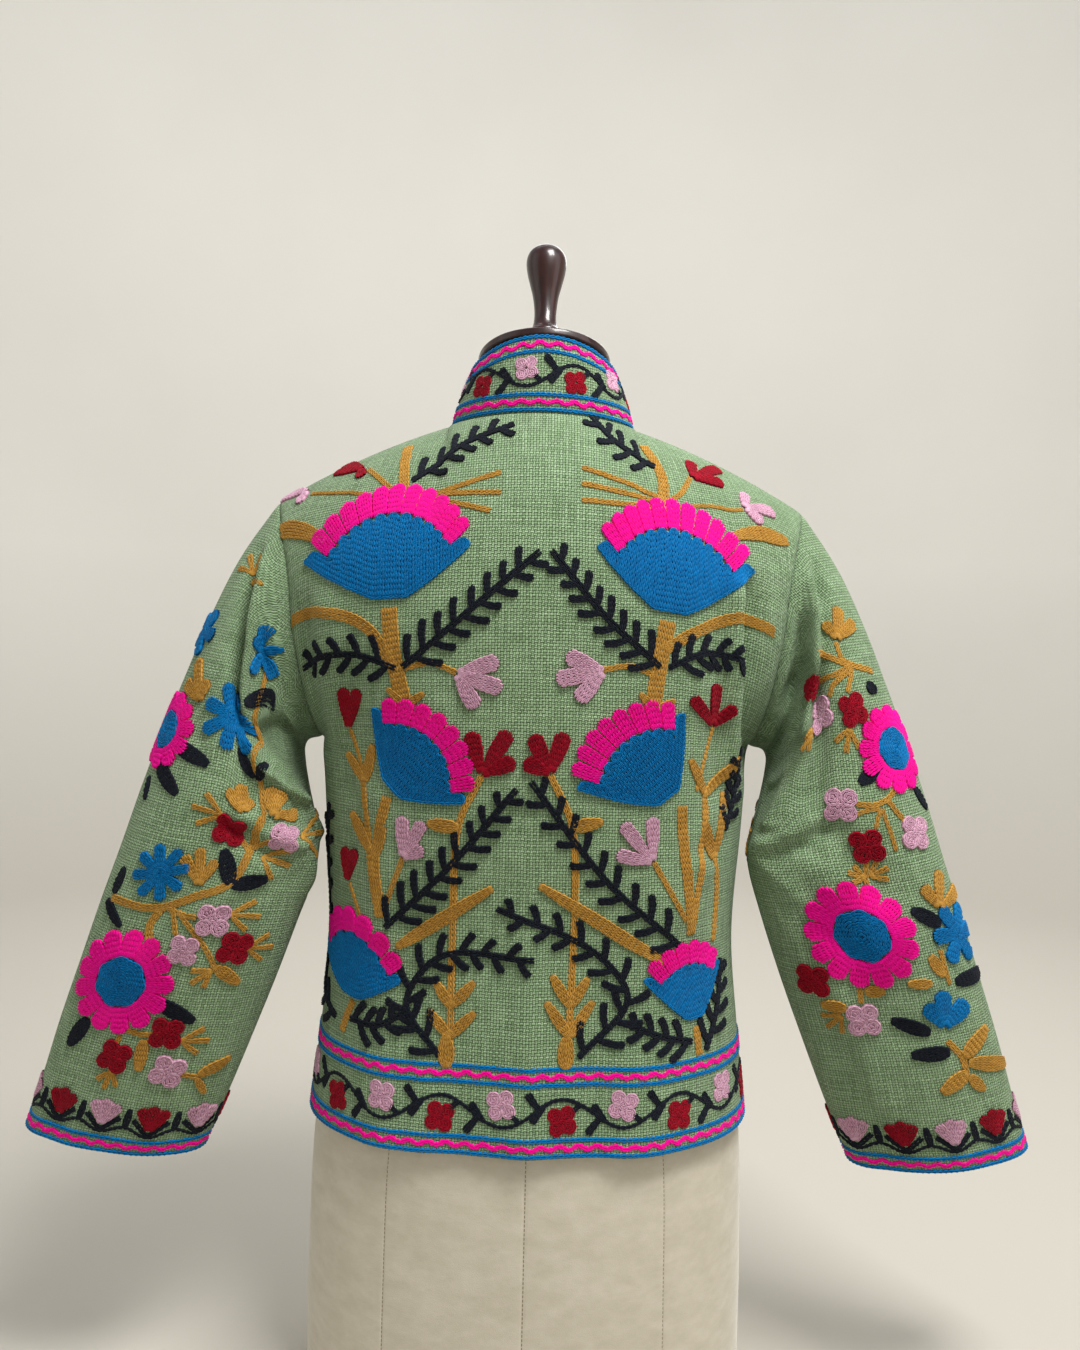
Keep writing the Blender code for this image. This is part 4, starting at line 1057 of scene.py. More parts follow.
def makeFormSkin():
    points, faces = [], []
    quarters = {}
    for face in (back, front):
        for side in (left, right):
            grid, rise, across = formQuarter(face, side)
            quarters[face, side] = grid
            rows, columns = grid.shape[:2]
            first = len(points)
            points.extend(grid.reshape(-1, 3))
            faces.extend(map(tuple, gridFaces(rows, columns, False, first)))
    foot = np.concatenate([
        quarters[back, left][0], quarters[front, left][0][-2::-1],
        quarters[front, right][0][1:], quarters[back, right][0][-2:0:-1],
    ])
    faces.append(tuple(range(len(points), len(points) + len(foot))))
    points.extend(foot)
    armStart = int(np.argmin(np.abs(rise - 1)))
    for side in (left, right):
        behind, before = quarters[back, side][armStart:, -1], quarters[front, side][-2:armStart:-1, -1]
        loop = np.concatenate([behind, before])
        middle = loop.mean(0)
        rings = [loop]
        for share in (0.06, 0.14, 0.26, 0.45, 0.65, 0.85, 0.97):
            ring = mix(loop, middle, share)
            ring[:, 0] += side * form["armCrown"] * (1 - (1 - share) ** 2.9)
            rings.append(ring)
        firsts = ringBands(rings, points, faces)
        faces.append(tuple(range(firsts[-1], firsts[-1] + len(loop))))
    neckColumns = len(withSeams(list(np.linspace(0, neck["share"], form["neckSteps"])), (0.0,))) - 1
    loop = np.concatenate([
        quarters[back, left][-1, :neckColumns + 1], quarters[front, left][-1, neckColumns - 1::-1],
        quarters[front, right][-1, 1:neckColumns + 1], quarters[back, right][-1, neckColumns - 1:0:-1],
    ])
    outward = unit((loop - np.array([0, neck["centreY"], 0])) * np.array([1.0, 1.0, 0.0]))
    frameTurn = np.array(plateFrame.to_3x3())
    end = outward * form["neckTopRadius"] + np.array([0, 0, -form["plateThickness"] / 2 - form["seat"]])
    end = end @ frameTurn.T + np.array(form["plateCentre"])
    rings = []
    for share in np.linspace(0, 1, 11):
        rings.append(mix(loop, end, share) - outward * form["neckHollow"] * math.sin(math.pi * share))
    firsts = ringBands(rings, points, faces)
    faces.append(tuple(range(firsts[-1], firsts[-1] + len(loop))))
    item = meshFromRings("form_velvet", points, faces, velvetMaterial)
    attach(item, "root")
    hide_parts("form_body")
    seamStitches(quarters, rise, across)


seamThread = {
    "pitch": 0.0034, "length": 0.0021, "halfWidth": 0.00036, "lift": 0.0003, "colour": paint(138, 126, 100),
    "firstRise": 0.01, "lastRise": 2.9, "lastSideRise": 0.99, "roughness": 0.8, "specular": 0.2,
}


def seamStitches(quarters, rise, across):
    # a row of small machine stitches along each seam groove
    dashes = []
    for (face, side), grid in quarters.items():
        for seam in formSeams:
            if (seam == 0.0 and side == right) or (seam == 1.0 and face == front):
                continue
            lastRise = seamThread["lastSideRise"] if seam == 1.0 else seamThread["lastRise"]
            shown = (rise > seamThread["firstRise"]) & (rise <= lastRise)
            path = grid[shown, int(np.argmin(np.abs(across - seam)))]
            steps = stepsAlong(path)
            marks = np.arange(0, steps[-1] - seamThread["length"], seamThread["pitch"])
            ends = marks + seamThread["length"]
            low = np.stack([np.interp(marks, steps, path[:, i]) for i in range(3)], -1)
            high = np.stack([np.interp(ends, steps, path[:, i]) for i in range(3)], -1)
            outward = unit(low * outwardPull)
            over = unit(np.cross(high - low, outward)) * seamThread["halfWidth"]
            corners = np.stack([low - over, low + over, high + over, high - over], 1)
            dashes.append(corners + (outward * seamThread["lift"])[:, None])
    points = np.concatenate(dashes).reshape(-1, 3)
    material = Look("form_seam_thread").finish({
        "Base Color": seamThread["colour"], "Roughness": seamThread["roughness"],
        "Specular IOR Level": seamThread["specular"],
    })
    item = meshFromArrays("form_seam_stitches", points, np.arange(len(points)).reshape(-1, 4), material)
    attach(item, "root")


def turnedWood(name, node, profile, seatHeight):
    rings = []
    angles = np.linspace(0, 2 * math.pi, form["sides"], endpoint=False)
    for rise, radius in profile:
        level = np.full(len(angles), rise + seatHeight)
        ring = np.stack([radius * np.cos(angles), radius * np.sin(angles), level], -1)
        rings.append(ring @ np.array(plateFrame.to_3x3()).T + np.array(form["plateCentre"]))
    points, faces = [], []
    firsts = ringBands(rings, points, faces)
    faces.append(tuple(range(firsts[0], firsts[0] + form["sides"])))
    faces.append(tuple(range(firsts[-1], firsts[-1] + form["sides"])))
    item = meshFromRings(name, points, faces, darkWood(name + "_finish"))
    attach(item, "root")
    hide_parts(node)


def plateProfile():
    half, rounding = form["plateThickness"] / 2, form["plateRound"]
    low = []
    for turn in np.radians(np.linspace(0, 90, 10)):
        radius = form["plateRadius"] - rounding * (1 - math.sin(turn))
        low.append((-half + rounding * (1 - math.cos(turn)), radius))
    return low + [(-rise, radius) for rise, radius in low[::-1]]


def knobProfile():
    heights, radii = np.array(finialProfile).T
    fineHeights = np.linspace(heights[0], heights[-1], 56)
    profile = list(zip(fineHeights, curveThrough(heights, radii, fineHeights)))
    return profile + [(heights[-1] + rise, radii[-1] - inset) for rise, inset in knobTip]


makeFormSkin()
turnedWood("neck_plate_wood", "neck_plate", plateProfile(), 0.0)
turnedWood("neck_finial_wood", "neck_finial", knobProfile(), form["plateThickness"] / 2 + form["seat"])
print("dress form made")


# chain stitch: rows of small looped stitches, laid on the panels by flat measures

stitch = {
    "pitch": 0.0044, "spacing": 0.0022, "width": 0.0029, "height": 0.0014, "sunk": 0.0002, "seed": 7,
    "along": (-0.10, 0.45, 1.12), "wide": (0.55, 1.0, 0.62), "high": (0.35, 1.0, 0.55),
    "across": (-1.0, -0.58, 0.0, 0.58, 1.0), "crown": (0.0, 1.0, 0.58, 1.0, 0.0),
    "shortest": 0.0012, "unevenPitch": 0.12, "unevenPlace": 0.00008, "unevenWidth": 0.08,
}
mm = 0.001


class Embroidery:
    def __init__(self, name):
        self.name, self.map = name, maps[name]
        self.rows = {colour: [] for colour in threads}
        self.chance = np.random.default_rng(stitch["seed"])
        self.swap, self.layer = {}, 0.0

    def row(self, colour, path, wide=1.0, lift=0.0):
        # one row of stitches, kept as start u and v, end u and v, width and lift
        path = np.asarray(path, float)
        steps = stepsAlong(path)
        count = max(1, round(steps[-1] / stitch["pitch"]))
        if steps[-1] < stitch["shortest"]:
            return
        shift, spread = stitch["unevenPlace"], stitch["unevenWidth"]
        marks = np.linspace(0, steps[-1], count + 1)
        uneven = self.chance.uniform(-stitch["unevenPitch"], stitch["unevenPitch"], count - 1)
        marks[1:-1] += uneven * stitch["pitch"]
        places = np.stack([np.interp(marks, steps, path[:, i]) for i in (0, 1)], -1)
        places += self.chance.normal(0, shift, places.shape)
        table = np.zeros((count, 6))
        table[:, 0:2], table[:, 2:4] = places[:-1], places[1:]
        table[:, 4] = wide * self.chance.uniform(1 - spread, 1 + spread, count)
        table[:, 5] = self.layer + lift + self.chance.uniform(-shift, shift, count)
        self.rows[self.swap.get(colour, colour)].append(table)

    def build(self):
        made = []
        for colour, tables in self.rows.items():
            if not tables:
                continue
            table = np.concatenate(tables)
            low, lowNormal, lowHeld = self.map.look(table[:, 0], table[:, 1])
            high, highNormal, highHeld = self.map.look(table[:, 2], table[:, 3])
            held = lowHeld & highHeld
            low, high, normal = low[held], high[held], unit(lowNormal + highNormal)[held]
            wide, lift = table[held, 4] * stitch["width"] / 2, table[held, 5]
            run = high - low
            side = unit(np.cross(normal, run))
            points = np.zeros((len(low), 3, 5, 3))
            for i, (t, w, h) in enumerate(zip(stitch["along"], stitch["wide"], stitch["high"])):
                for j, (s, crown) in enumerate(zip(stitch["across"], stitch["crown"])):
                    up = lift + crown * h * stitch["height"] if crown else 0 * lift - stitch["sunk"]
                    points[:, i, j] = low + run * t + side * (s * w * wide)[:, None] + normal * up[:, None]
            one = gridFaces(3, 5, False)[:, ::-1]
            faces = (one[None] + np.arange(len(low))[:, None, None] * 15).reshape(-1, 4)
            across, along = np.array(stitch["across"]), np.array([0.0, 0.5, 1.0])
            one = np.stack([np.tile(across, 3), np.repeat(along, 5)], -1)
            loops = np.tile(one, (len(low), 1))
            name = f"{self.name}_{colour}_stitches"
            points, material = points.reshape(-1, 3), threadMaterials[colour]
            item = meshFromArrays(name, points, faces, material, loops, "thread")
            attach(item, "root")
            made.append(item)
        return made


def pathThrough(points, count=40):
    points = np.asarray(points, float)
    if len(points) == 2:
        return mix(points[:1], points[1:], np.linspace(0, 1, count)[:, None])
    steps = stepsAlong(points)
    return curveThrough(steps, points, np.linspace(0, steps[-1], count))


def turned(ray, turn):
    # a flat direction turned by an angle in radians
    cosine, sine = math.cos(turn), math.sin(turn)
    return np.array([ray[0] * cosine - ray[1] * sine, ray[0] * sine + ray[1] * cosine])


def direction(turn):
    return np.array([math.cos(turn), math.sin(turn)])


def leftOf(path):
    run = unit(np.gradient(path, axis=0))
    return np.stack([-run[:, 1], run[:, 0]], -1)


def stem(work, colour, number, points):
    path = pathThrough(points)
    count = max(1, round(number))
    for i in range(count):
        away = (i - (count - 1) / 2) * stitch["spacing"] * number / count
        work.row(colour, path + leftOf(path) * away, number / count)


def petal(work, colour, base, tip, width, narrow=0.45, lift=0.0, bow=0.0):
    # parallel rows from a narrow base to a round tip
    base, tip = np.asarray(base), np.asarray(tip)
    length = np.linalg.norm(tip - base)
    along = (tip - base) / max(length, 1e-6)
    over = np.array([-along[1], along[0]])
    count = max(1, round(width / stitch["spacing"]))
    for i in range(count):
        away = ((i + 0.5) / count - 0.5) * 2
        end = length - width / 2 * (1 - math.sqrt(max(0.0, 1 - away ** 2)))
        t = np.linspace(0, max(end, length * 0.4), 10) / length
        spread = mix(narrow, 1.0, ease(t / 0.6))
        offset = away * width / 2 * spread + bow * length * np.sin(np.pi * t)
        work.row(colour, base + along * (t * length)[:, None] + over * offset[:, None], 1.0, lift)


def leaf(work, colour, number, points):
    base, tip = np.asarray(points[0]), np.asarray(points[-1])
    count = max(2, round(number * 0.8))
    path = pathThrough([base, tip], 12)
    t = np.linspace(0, 1, 12)
    swell = 0.3 + 0.7 * np.sin(np.pi * t ** 0.85) ** 0.7
    for i in range(count):
        away = (i - (count - 1) / 2) * stitch["spacing"]
        work.row(colour, path + leftOf(path) * (away * swell)[:, None])


def tulip(work, colour, number, points):
    joint = np.asarray(points[0])
    for i, tip in enumerate(points[1:]):
        tip = np.asarray(tip)
        start = mix(joint, tip, 0.06)
        petal(work, colour, start, tip, number * 0.0021, 0.35, 0.0001 * i)


sprayLoops = {"turns": ((-0.62, 0.86), (0.0, 1.0), (0.62, 0.86)), "width": 1.25, "narrow": 0.2}


def spray(work, colour, number, points):
    # three narrow loops from one joint
    base, tip = np.asarray(points[0]), np.asarray(points[-1])
    ray = tip - base
    for turn, reach in sprayLoops["turns"]:
        width = number * sprayLoops["width"] * stitch["spacing"]
        petal(work, colour, base, base + turned(ray, turn) * reach, width, sprayLoops["narrow"])


sprigLeaves = {
    "stemRows": 2.3, "reach": 1.25, "shortest": 0.011, "longest": 0.0195, "first": 0.9, "spare": 0.4,
    "baseLength": 1.08, "taper": 0.42, "uneven": 0.12, "forward": 0.62, "sideways": 0.78, "start": 0.0012,
    "width": 0.0056, "narrow": 0.7, "lift": 0.0001, "bow": 0.06, "tipLength": 0.006, "tipWidth": 0.0055,
}


def sprig(work, colour, number, points):
    # a stem with leaves by turns on either side and one at its tip
    shape = sprigLeaves
    path = pathThrough(points, 60)
    stem(work, colour, shape["stemRows"], points)
    normals, run = leftOf(path), unit(np.gradient(path, axis=0))
    length = np.linalg.norm(np.diff(path, axis=0), axis=1).sum()
    reach = np.clip(length / number * shape["reach"], shape["shortest"], shape["longest"])
    for i in range(int(number) * 2):
        side = 1 if i % 2 else -1
        t = (i + shape["first"]) / (number * 2 + shape["spare"])
        at = int(t * (len(path) - 1))
        uneven = work.chance.uniform(1 - shape["uneven"], 1 + shape["uneven"])
        long = reach * (shape["baseLength"] - shape["taper"] * t) * uneven
        lean = run[at] * shape["forward"] + normals[at] * side * shape["sideways"]
        start = path[at] + normals[at] * side * shape["start"]
        tip = start + lean * long
        petal(work, colour, start, tip, shape["width"], shape["narrow"], shape["lift"], shape["bow"] * side)
    tip = path[-1] + run[-1] * shape["tipLength"]
    petal(work, colour, path[-4], tip, shape["tipWidth"], shape["narrow"])


def ringPath(centre, radius, waves=0, depth=0.0, start=0.0):
    turn = np.linspace(0, 2 * math.pi, 49) + start
    reach = radius * (1 + depth * np.cos(waves * turn))
    return np.asarray(centre) + np.stack([reach * np.cos(turn), reach * np.sin(turn)], -1)


fourLobes = {"radius": 0.00138, "place": 0.55, "rings": (0.40, 0.25, 0.11), "middle": 0.10}


def quatrefoil(work, colour, number, points):
    # four round lobes of stitched rings, turned by chance
    centre, radius = np.asarray(points[0]), number * fourLobes["radius"]
    first = work.chance.uniform(0.55, 1.0)
    for i in range(4):
        turn = first + i * math.pi / 2
        lobe = centre + direction(turn) * radius * fourLobes["place"]
        for share in fourLobes["rings"]:
            work.row(colour, ringPath(lobe, radius * share, start=turn), 1.15, 0.0001)
    work.row(colour, ringPath(centre, radius * fourLobes["middle"]), 1.1, 0.0003)


def disc(work, colour, centre, radius, waves=0, depth=0.0, lift=0.0):
    count = max(1, round(radius / stitch["spacing"]))
    for i in range(count):
        reach = radius * (i + 0.4) / count
        work.row(colour, ringPath(centre, reach, waves, depth * reach / radius), 1.05, lift)


# shares of the radius, and the petals' width as a share of their part of the round
flowerPetals = {"inner": 0.15, "outer": 1.0, "width": 0.47, "narrow": 0.62, "middle": 0.24, "lift": 0.0002}
rosettePetals = {"inner": 0.50, "outer": 1.02, "width": 0.74, "narrow": 0.74, "middle": 0.50, "lift": 0.0002}


def petalRing(work, colour, number, centre, radius, first, shape):
    for i in range(int(number)):
        ray = direction(first + 2 * math.pi * i / number)
        width = 2 * math.pi * radius * shape["width"] / number
        inner, outer = centre + ray * radius * shape["inner"], centre + ray * radius * shape["outer"]
        petal(work, colour, inner, outer, width, shape["narrow"])


def flower(work, colour, number, points):
    # petals round a middle of the same thread, the first one towards the given edge
    centre, edge = np.asarray(points[0]), np.asarray(points[-1])
    radius = np.linalg.norm(edge - centre)
    first = math.atan2(edge[1] - centre[1], edge[0] - centre[0])
    petalRing(work, colour, number, centre, radius, first, flowerPetals)
    disc(work, colour, centre, radius * flowerPetals["middle"], lift=flowerPetals["lift"])


def rosette(work, colour, number, points):
    # petals round a broad blue middle with a scalloped edge
    centre, edge = np.asarray(points[0]), np.asarray(points[-1])
    radius = np.linalg.norm(edge - centre)
    petalRing(work, colour, number, centre, radius, 2 * math.pi * 0.3 / number, rosettePetals)
    disc(work, "blue", centre, radius * rosettePetals["middle"], 7, 0.07, rosettePetals["lift"])


fill = {"firstRow": 0.6, "shortest": 0.002, "inset": 0.0008, "rimLift": 0.0001}


def fillRows(work, colour, outline, turn):
    # straight rows across an outline, at one slant, and one row round it
    outline = np.asarray(outline)
    spin = np.array([[math.cos(turn), math.sin(turn)], [-math.sin(turn), math.cos(turn)]])
    flat = outline @ spin.T
    after = np.roll(flat, -1, 0)
    lowest, highest = flat[:, 1].min() + stitch["spacing"] * fill["firstRow"], flat[:, 1].max()
    for level in np.arange(lowest, highest, stitch["spacing"]):
        crossed = (flat[:, 1] > level) != (after[:, 1] > level)
        share = (level - flat[crossed, 1]) / (after[crossed, 1] - flat[crossed, 1])
        cuts = np.sort(flat[crossed, 0] + (after[crossed, 0] - flat[crossed, 0]) * share)
        for start, end in zip(cuts[0::2], cuts[1::2]):
            if end - start > fill["shortest"]:
                ends = np.array([[start + fill["inset"], level], [end - fill["inset"], level]])
                work.row(colour, pathThrough(ends, 6) @ spin)
    work.row(colour, np.concatenate([outline, outline[:1]]), lift=fill["rimLift"])


# shares of the fan's sweep or of its rays; the rim is a row of shallow scallops
fanShape = {
    "margin": 0.07, "bulge": 0.10, "shoulder": (0.055, 0.95), "waist": 0.035, "petalInner": 0.79,
    "petalOuter": 1.07, "petalWidth": 0.72, "petalNarrow": 0.82, "petalLift": 0.0003,
    "scallop": ((0.05, 0.72), (0.3, 0.79), (0.7, 0.79), (0.95, 0.72)), "sideSteps": (0.18, 0.45, 0.75),
}


def fan(work, colour, number, points):
    # a fan with a pink petal on each scallop; its points are the base and the two ends of the rim
    base, start, end = (np.asarray(p) for p in points)
    raysFrom, raysTo = start - base, end - base
    first = math.atan2(raysFrom[1], raysFrom[0])
    sweep = (math.atan2(raysTo[1], raysTo[0]) - first + math.pi) % (2 * math.pi) - math.pi
    longFrom, longTo = np.linalg.norm(raysFrom), np.linalg.norm(raysTo)

    def ray(share, reach):
        bulge = 1 + fanShape["bulge"] * math.sin(math.pi * share)
        return base + direction(first + sweep * share) * mix(longFrom, longTo, share) * bulge * reach

    def part(i):
        return mix(fanShape["margin"], 1 - fanShape["margin"], i / number)

    shoulderShare, shoulderReach = fanShape["shoulder"]
    rim = [start, ray(shoulderShare, shoulderReach)]
    for i in range(int(number)):
        rim += [ray(mix(part(i), part(i + 1), s), reach) for s, reach in fanShape["scallop"]]
    rim += [ray(1 - shoulderShare, shoulderReach), end]
    for edge, mark, steps in ((end, 1, fanShape["sideSteps"][::-1]), (start, -1, fanShape["sideSteps"])):
        run = edge - base
        out = np.array([-run[1], run[0]]) * mark * np.sign(sweep) * fanShape["waist"]
        rim += [base + run * s + out * math.sin(math.pi * s) for s in steps]
    fillRows(work, colour, rim, first + sweep / 2)
    for i in range(int(number)):
        inner, outer = ray(part(i + 0.5), fanShape["petalInner"]), ray(part(i + 0.5), fanShape["petalOuter"])
        width = abs(sweep) * np.linalg.norm(outer - base) * fanShape["petalWidth"] / number
        petal(work, "pink", inner, outer, width, fanShape["petalNarrow"], fanShape["petalLift"])


def waveRow(work, colour, start, end, width, length, wide=1.0):
    start, end = np.asarray(start), np.asarray(end)
    long = np.linalg.norm(end - start)
    count = max(2, round(long / length)) * 4 + 1
    t = np.linspace(0, 1, count)
    over = leftOf(np.array([start, end]))[0]
    swing = np.sin(t * (count - 1) / 4 * 2 * np.pi) * width
    work.row(colour, start + (end - start) * t[:, None] + over * swing[:, None], wide)


# the distances from an edge, and the wave's height and length
edgeLines = {
    "blueWide": 1.4, "pinkWide": 1.6, "first": 0.0004, "wave": 0.0061, "last": 0.0120, "waveHeight": 0.0021,
    "waveLength": 0.0145, "topFirst": 0.0008, "topWave": 0.0066, "topLast": 0.0125,
}


def lineBorder(work, start, end, inward):
    # blue, pink and blue again, going inward from the edge
    lines, inward = edgeLines, np.asarray(inward)
    start, end = np.asarray(start) * mm, np.asarray(end) * mm
    for away in (lines["first"], lines["last"]):
        work.row("blue", pathThrough([start + inward * away, end + inward * away], 60), lines["blueWide"])
    start, end = start + inward * lines["wave"], end + inward * lines["wave"]
    waveRow(work, "pink", start, end, lines["waveHeight"], lines["waveLength"], lines["pinkWide"])


def topBorder(work):
    # the same lines under a panel's upper edge
    lines = edgeLines
    u = np.linspace(work.map.topU[0], work.map.topU[-1], 240)
    top = np.interp(u, work.map.topU, work.map.topV)
    for away in (lines["topFirst"], lines["topLast"]):
        work.row("blue", np.stack([u, top - away], -1), lines["blueWide"])
    wave = lines["waveHeight"] * np.sin(u * 2 * np.pi / lines["waveLength"])
    work.row("pink", np.stack([u, top - lines["topWave"] + wave], -1), lines["pinkWide"])


vine = {
    "stemWide": 1.35, "stemSwing": 0.55, "flowerSwing": 0.30, "bars": ((0.30, -0.9), (0.38, 0.9)),
    "reach": 15, "fullSwing": 17, "barWidth": 0.0058, "barNarrow": 0.6, "barLift": 0.0001, "root": -0.30,
    "rootWidth": 0.0044,
}


def vineBorder(work, start, end, low, high, gap, size):
    # a thin wavy navy stem with forked bars, and square flowers by turns above and below it
    middle, swing = (low + high) / 2, (high - low) / 2
    u = np.linspace(start, end, 160)
    path = np.stack([u, middle - swing * vine["stemSwing"] * np.cos(np.pi * (u - start) / gap)], -1) * mm
    work.row("navy", path, vine["stemWide"])

    def onStem(count):
        height = middle - swing * vine["stemSwing"] * math.cos(math.pi * count)
        return np.array([start + gap * count, height])

    for i in range(int((end - start) / gap) + 1):
        up = 1 if i % 2 == 0 else -1
        flowerPlace = np.array([start + i * gap, middle + up * swing * vine["flowerSwing"]])
        for over, turn in vine["bars"]:
            base, reach = onStem(i + over), vine["reach"] * min(1, swing / vine["fullSwing"])
            tip = base + direction(-up * turn) * reach
            petal(work, "navy", base * mm, tip * mm, vine["barWidth"], vine["barNarrow"], vine["barLift"])
        root = onStem(i + vine["root"])
        petal(work, "navy", root * mm, mix(root, flowerPlace, 0.5) * mm, vine["rootWidth"], 0.8)
        quatrefoil(work, "rose" if up > 0 else "crimson", size, [flowerPlace * mm])


makers = {
    "stem": stem, "leaf": leaf, "tulip": tulip, "sprig": sprig, "spray": spray, "quatrefoil": quatrefoil,
    "flower": flower, "rosette": rosette, "fan": fan,
}
# how far each kind is lifted, so that crossing motifs lie over one another
layers = {
    "stem": 0.0, "spray": 0.0001, "leaf": 0.0005, "sprig": 0.0008, "tulip": 0.0009, "quatrefoil": 0.0011,
    "flower": 0.0013, "fan": 0.0011, "rosette": 0.0015,
}


def sew(work, rows, flip=1, shift=(0, 0), swap=None):
    work.swap = swap or {}
    for kind, colour, number, *points in rows:
        work.layer = layers[kind]
        placed = [((u * flip + shift[0]) * mm, (v + shift[1]) * mm) for u, v in points]
        makers[kind](work, colour, number, placed)
    work.swap, work.layer = {}, 0.0


# motifs: kind, thread, number of parts or rows, then flat places in millimetres
backLeft = (
    ("sprig", "navy", 5, (111, 521), (70, 552), (28, 567)),
    ("stem", "gold", 4, (131, 568), (119, 522), (110, 496)),
    ("stem", "gold", 2, (111, 503), (84, 508), (32, 522)),
    ("stem", "gold", 2, (110, 500), (79, 506), (31, 505)),
    ("stem", "gold", 2, (108, 496), (78, 499), (39, 490)),
    ("stem", "gold", 2, (114, 503), (132, 518), (160, 542)),
    ("stem", "gold", 1.5, (114, 497), (157, 514), (214, 528)),
    ("tulip", "crimson", 5, (166, 544), (199, 568), (201, 553), (165, 533)),
    ("tulip", "rose", 5, (222, 534), (252, 548), (258, 546), (226, 522)),
    ("leaf", "gold", 7, (242, 508), (178, 476)),
    ("fan", "blue", 11, (113, 417), (197, 462), (53, 464)),
    ("stem", "gold", 6, (115, 416), (111, 380), (103, 346)),
    ("stem", "gold", 4, (111, 370), (129, 398), (155, 413), (213, 426)),
    ("sprig", "navy", 8, (103, 371), (51, 414), (4, 454)),
    ("sprig", "navy", 5, (109, 370), (147, 382), (200, 384)),
    ("stem", "gold", 2, (102, 370), (81, 374), (61, 367)),
    ("tulip", "rose", 6, (61, 366), (29, 375), (26, 354), (45, 340)),
    ("leaf", "gold", 4, (102, 342), (116, 354)),
    ("leaf", "gold", 4, (100, 342), (86, 351)),
    ("fan", "blue", 8, (115, 270), (130, 338), (52, 267)),
    ("tulip", "crimson", 6, (40, 289), (49, 321), (20, 322), (15, 300)),
    ("stem", "gold", 2.5, (40, 288), (57, 249), (60, 193), (61, 76)),
    ("leaf", "gold", 6, (57, 248), (81, 250)),
    ("tulip", "crimson", 5, (157, 321), (159, 356), (145, 354)),
    ("stem", "gold", 1.5, (156, 320), (149, 301), (141, 282)),
    ("leaf", "gold", 5, (141, 278), (161, 298)),
    ("leaf", "gold", 6, (138, 278), (131, 307)),
    ("stem", "gold", 3, (141, 278), (135, 240), (121, 174)),
    ("leaf", "gold", 6, (131, 224), (156, 251)),
    ("leaf", "gold", 5, (126, 218), (117, 244)),
    ("stem", "gold", 4, (115, 268), (125, 225), (119, 173)),
    ("tulip", "rose", 5, (101, 222), (102, 254), (85, 251), (84, 230)),
    ("stem", "gold", 2, (101, 222), (109, 200), (118, 175)),
    ("tulip", "crimson", 5, (158, 196), (164, 222), (149, 222)),
    ("stem", "gold", 1.5, (155, 195), (143, 175), (136, 160)),
    ("sprig", "navy", 9, (115, 166), (63, 218), (17, 274)),
    ("leaf", "gold", 6.5, (105, 152), (30, 202)),
    ("fan", "blue", 6, (147, 103), (207, 138), (100, 126)),
    ("stem", "gold", 3, (147, 103), (154, 90), (160, 77)),
    ("sprig", "navy", 9, (69, 72), (96, 110), (68, 148), (3, 148)),
    ("sprig", "navy", 4, (149, 89), (120, 90), (98, 102)),
    ("sprig", "navy", 5, (210, 138), (207, 186), (193, 248)),
    ("sprig", "navy", 4, (170, 85), (214, 105), (210, 134)),
    ("leaf", "gold", 7, (63, 64), (64, 88)),
    ("leaf", "gold", 5.5, (62, 87), (78, 106)),
    ("leaf", "gold", 5.5, (61, 87), (42, 106)),
    ("leaf", "gold", 5, (61, 110), (73, 128)),
    ("leaf", "gold", 5, (60, 110), (43, 129)),
)
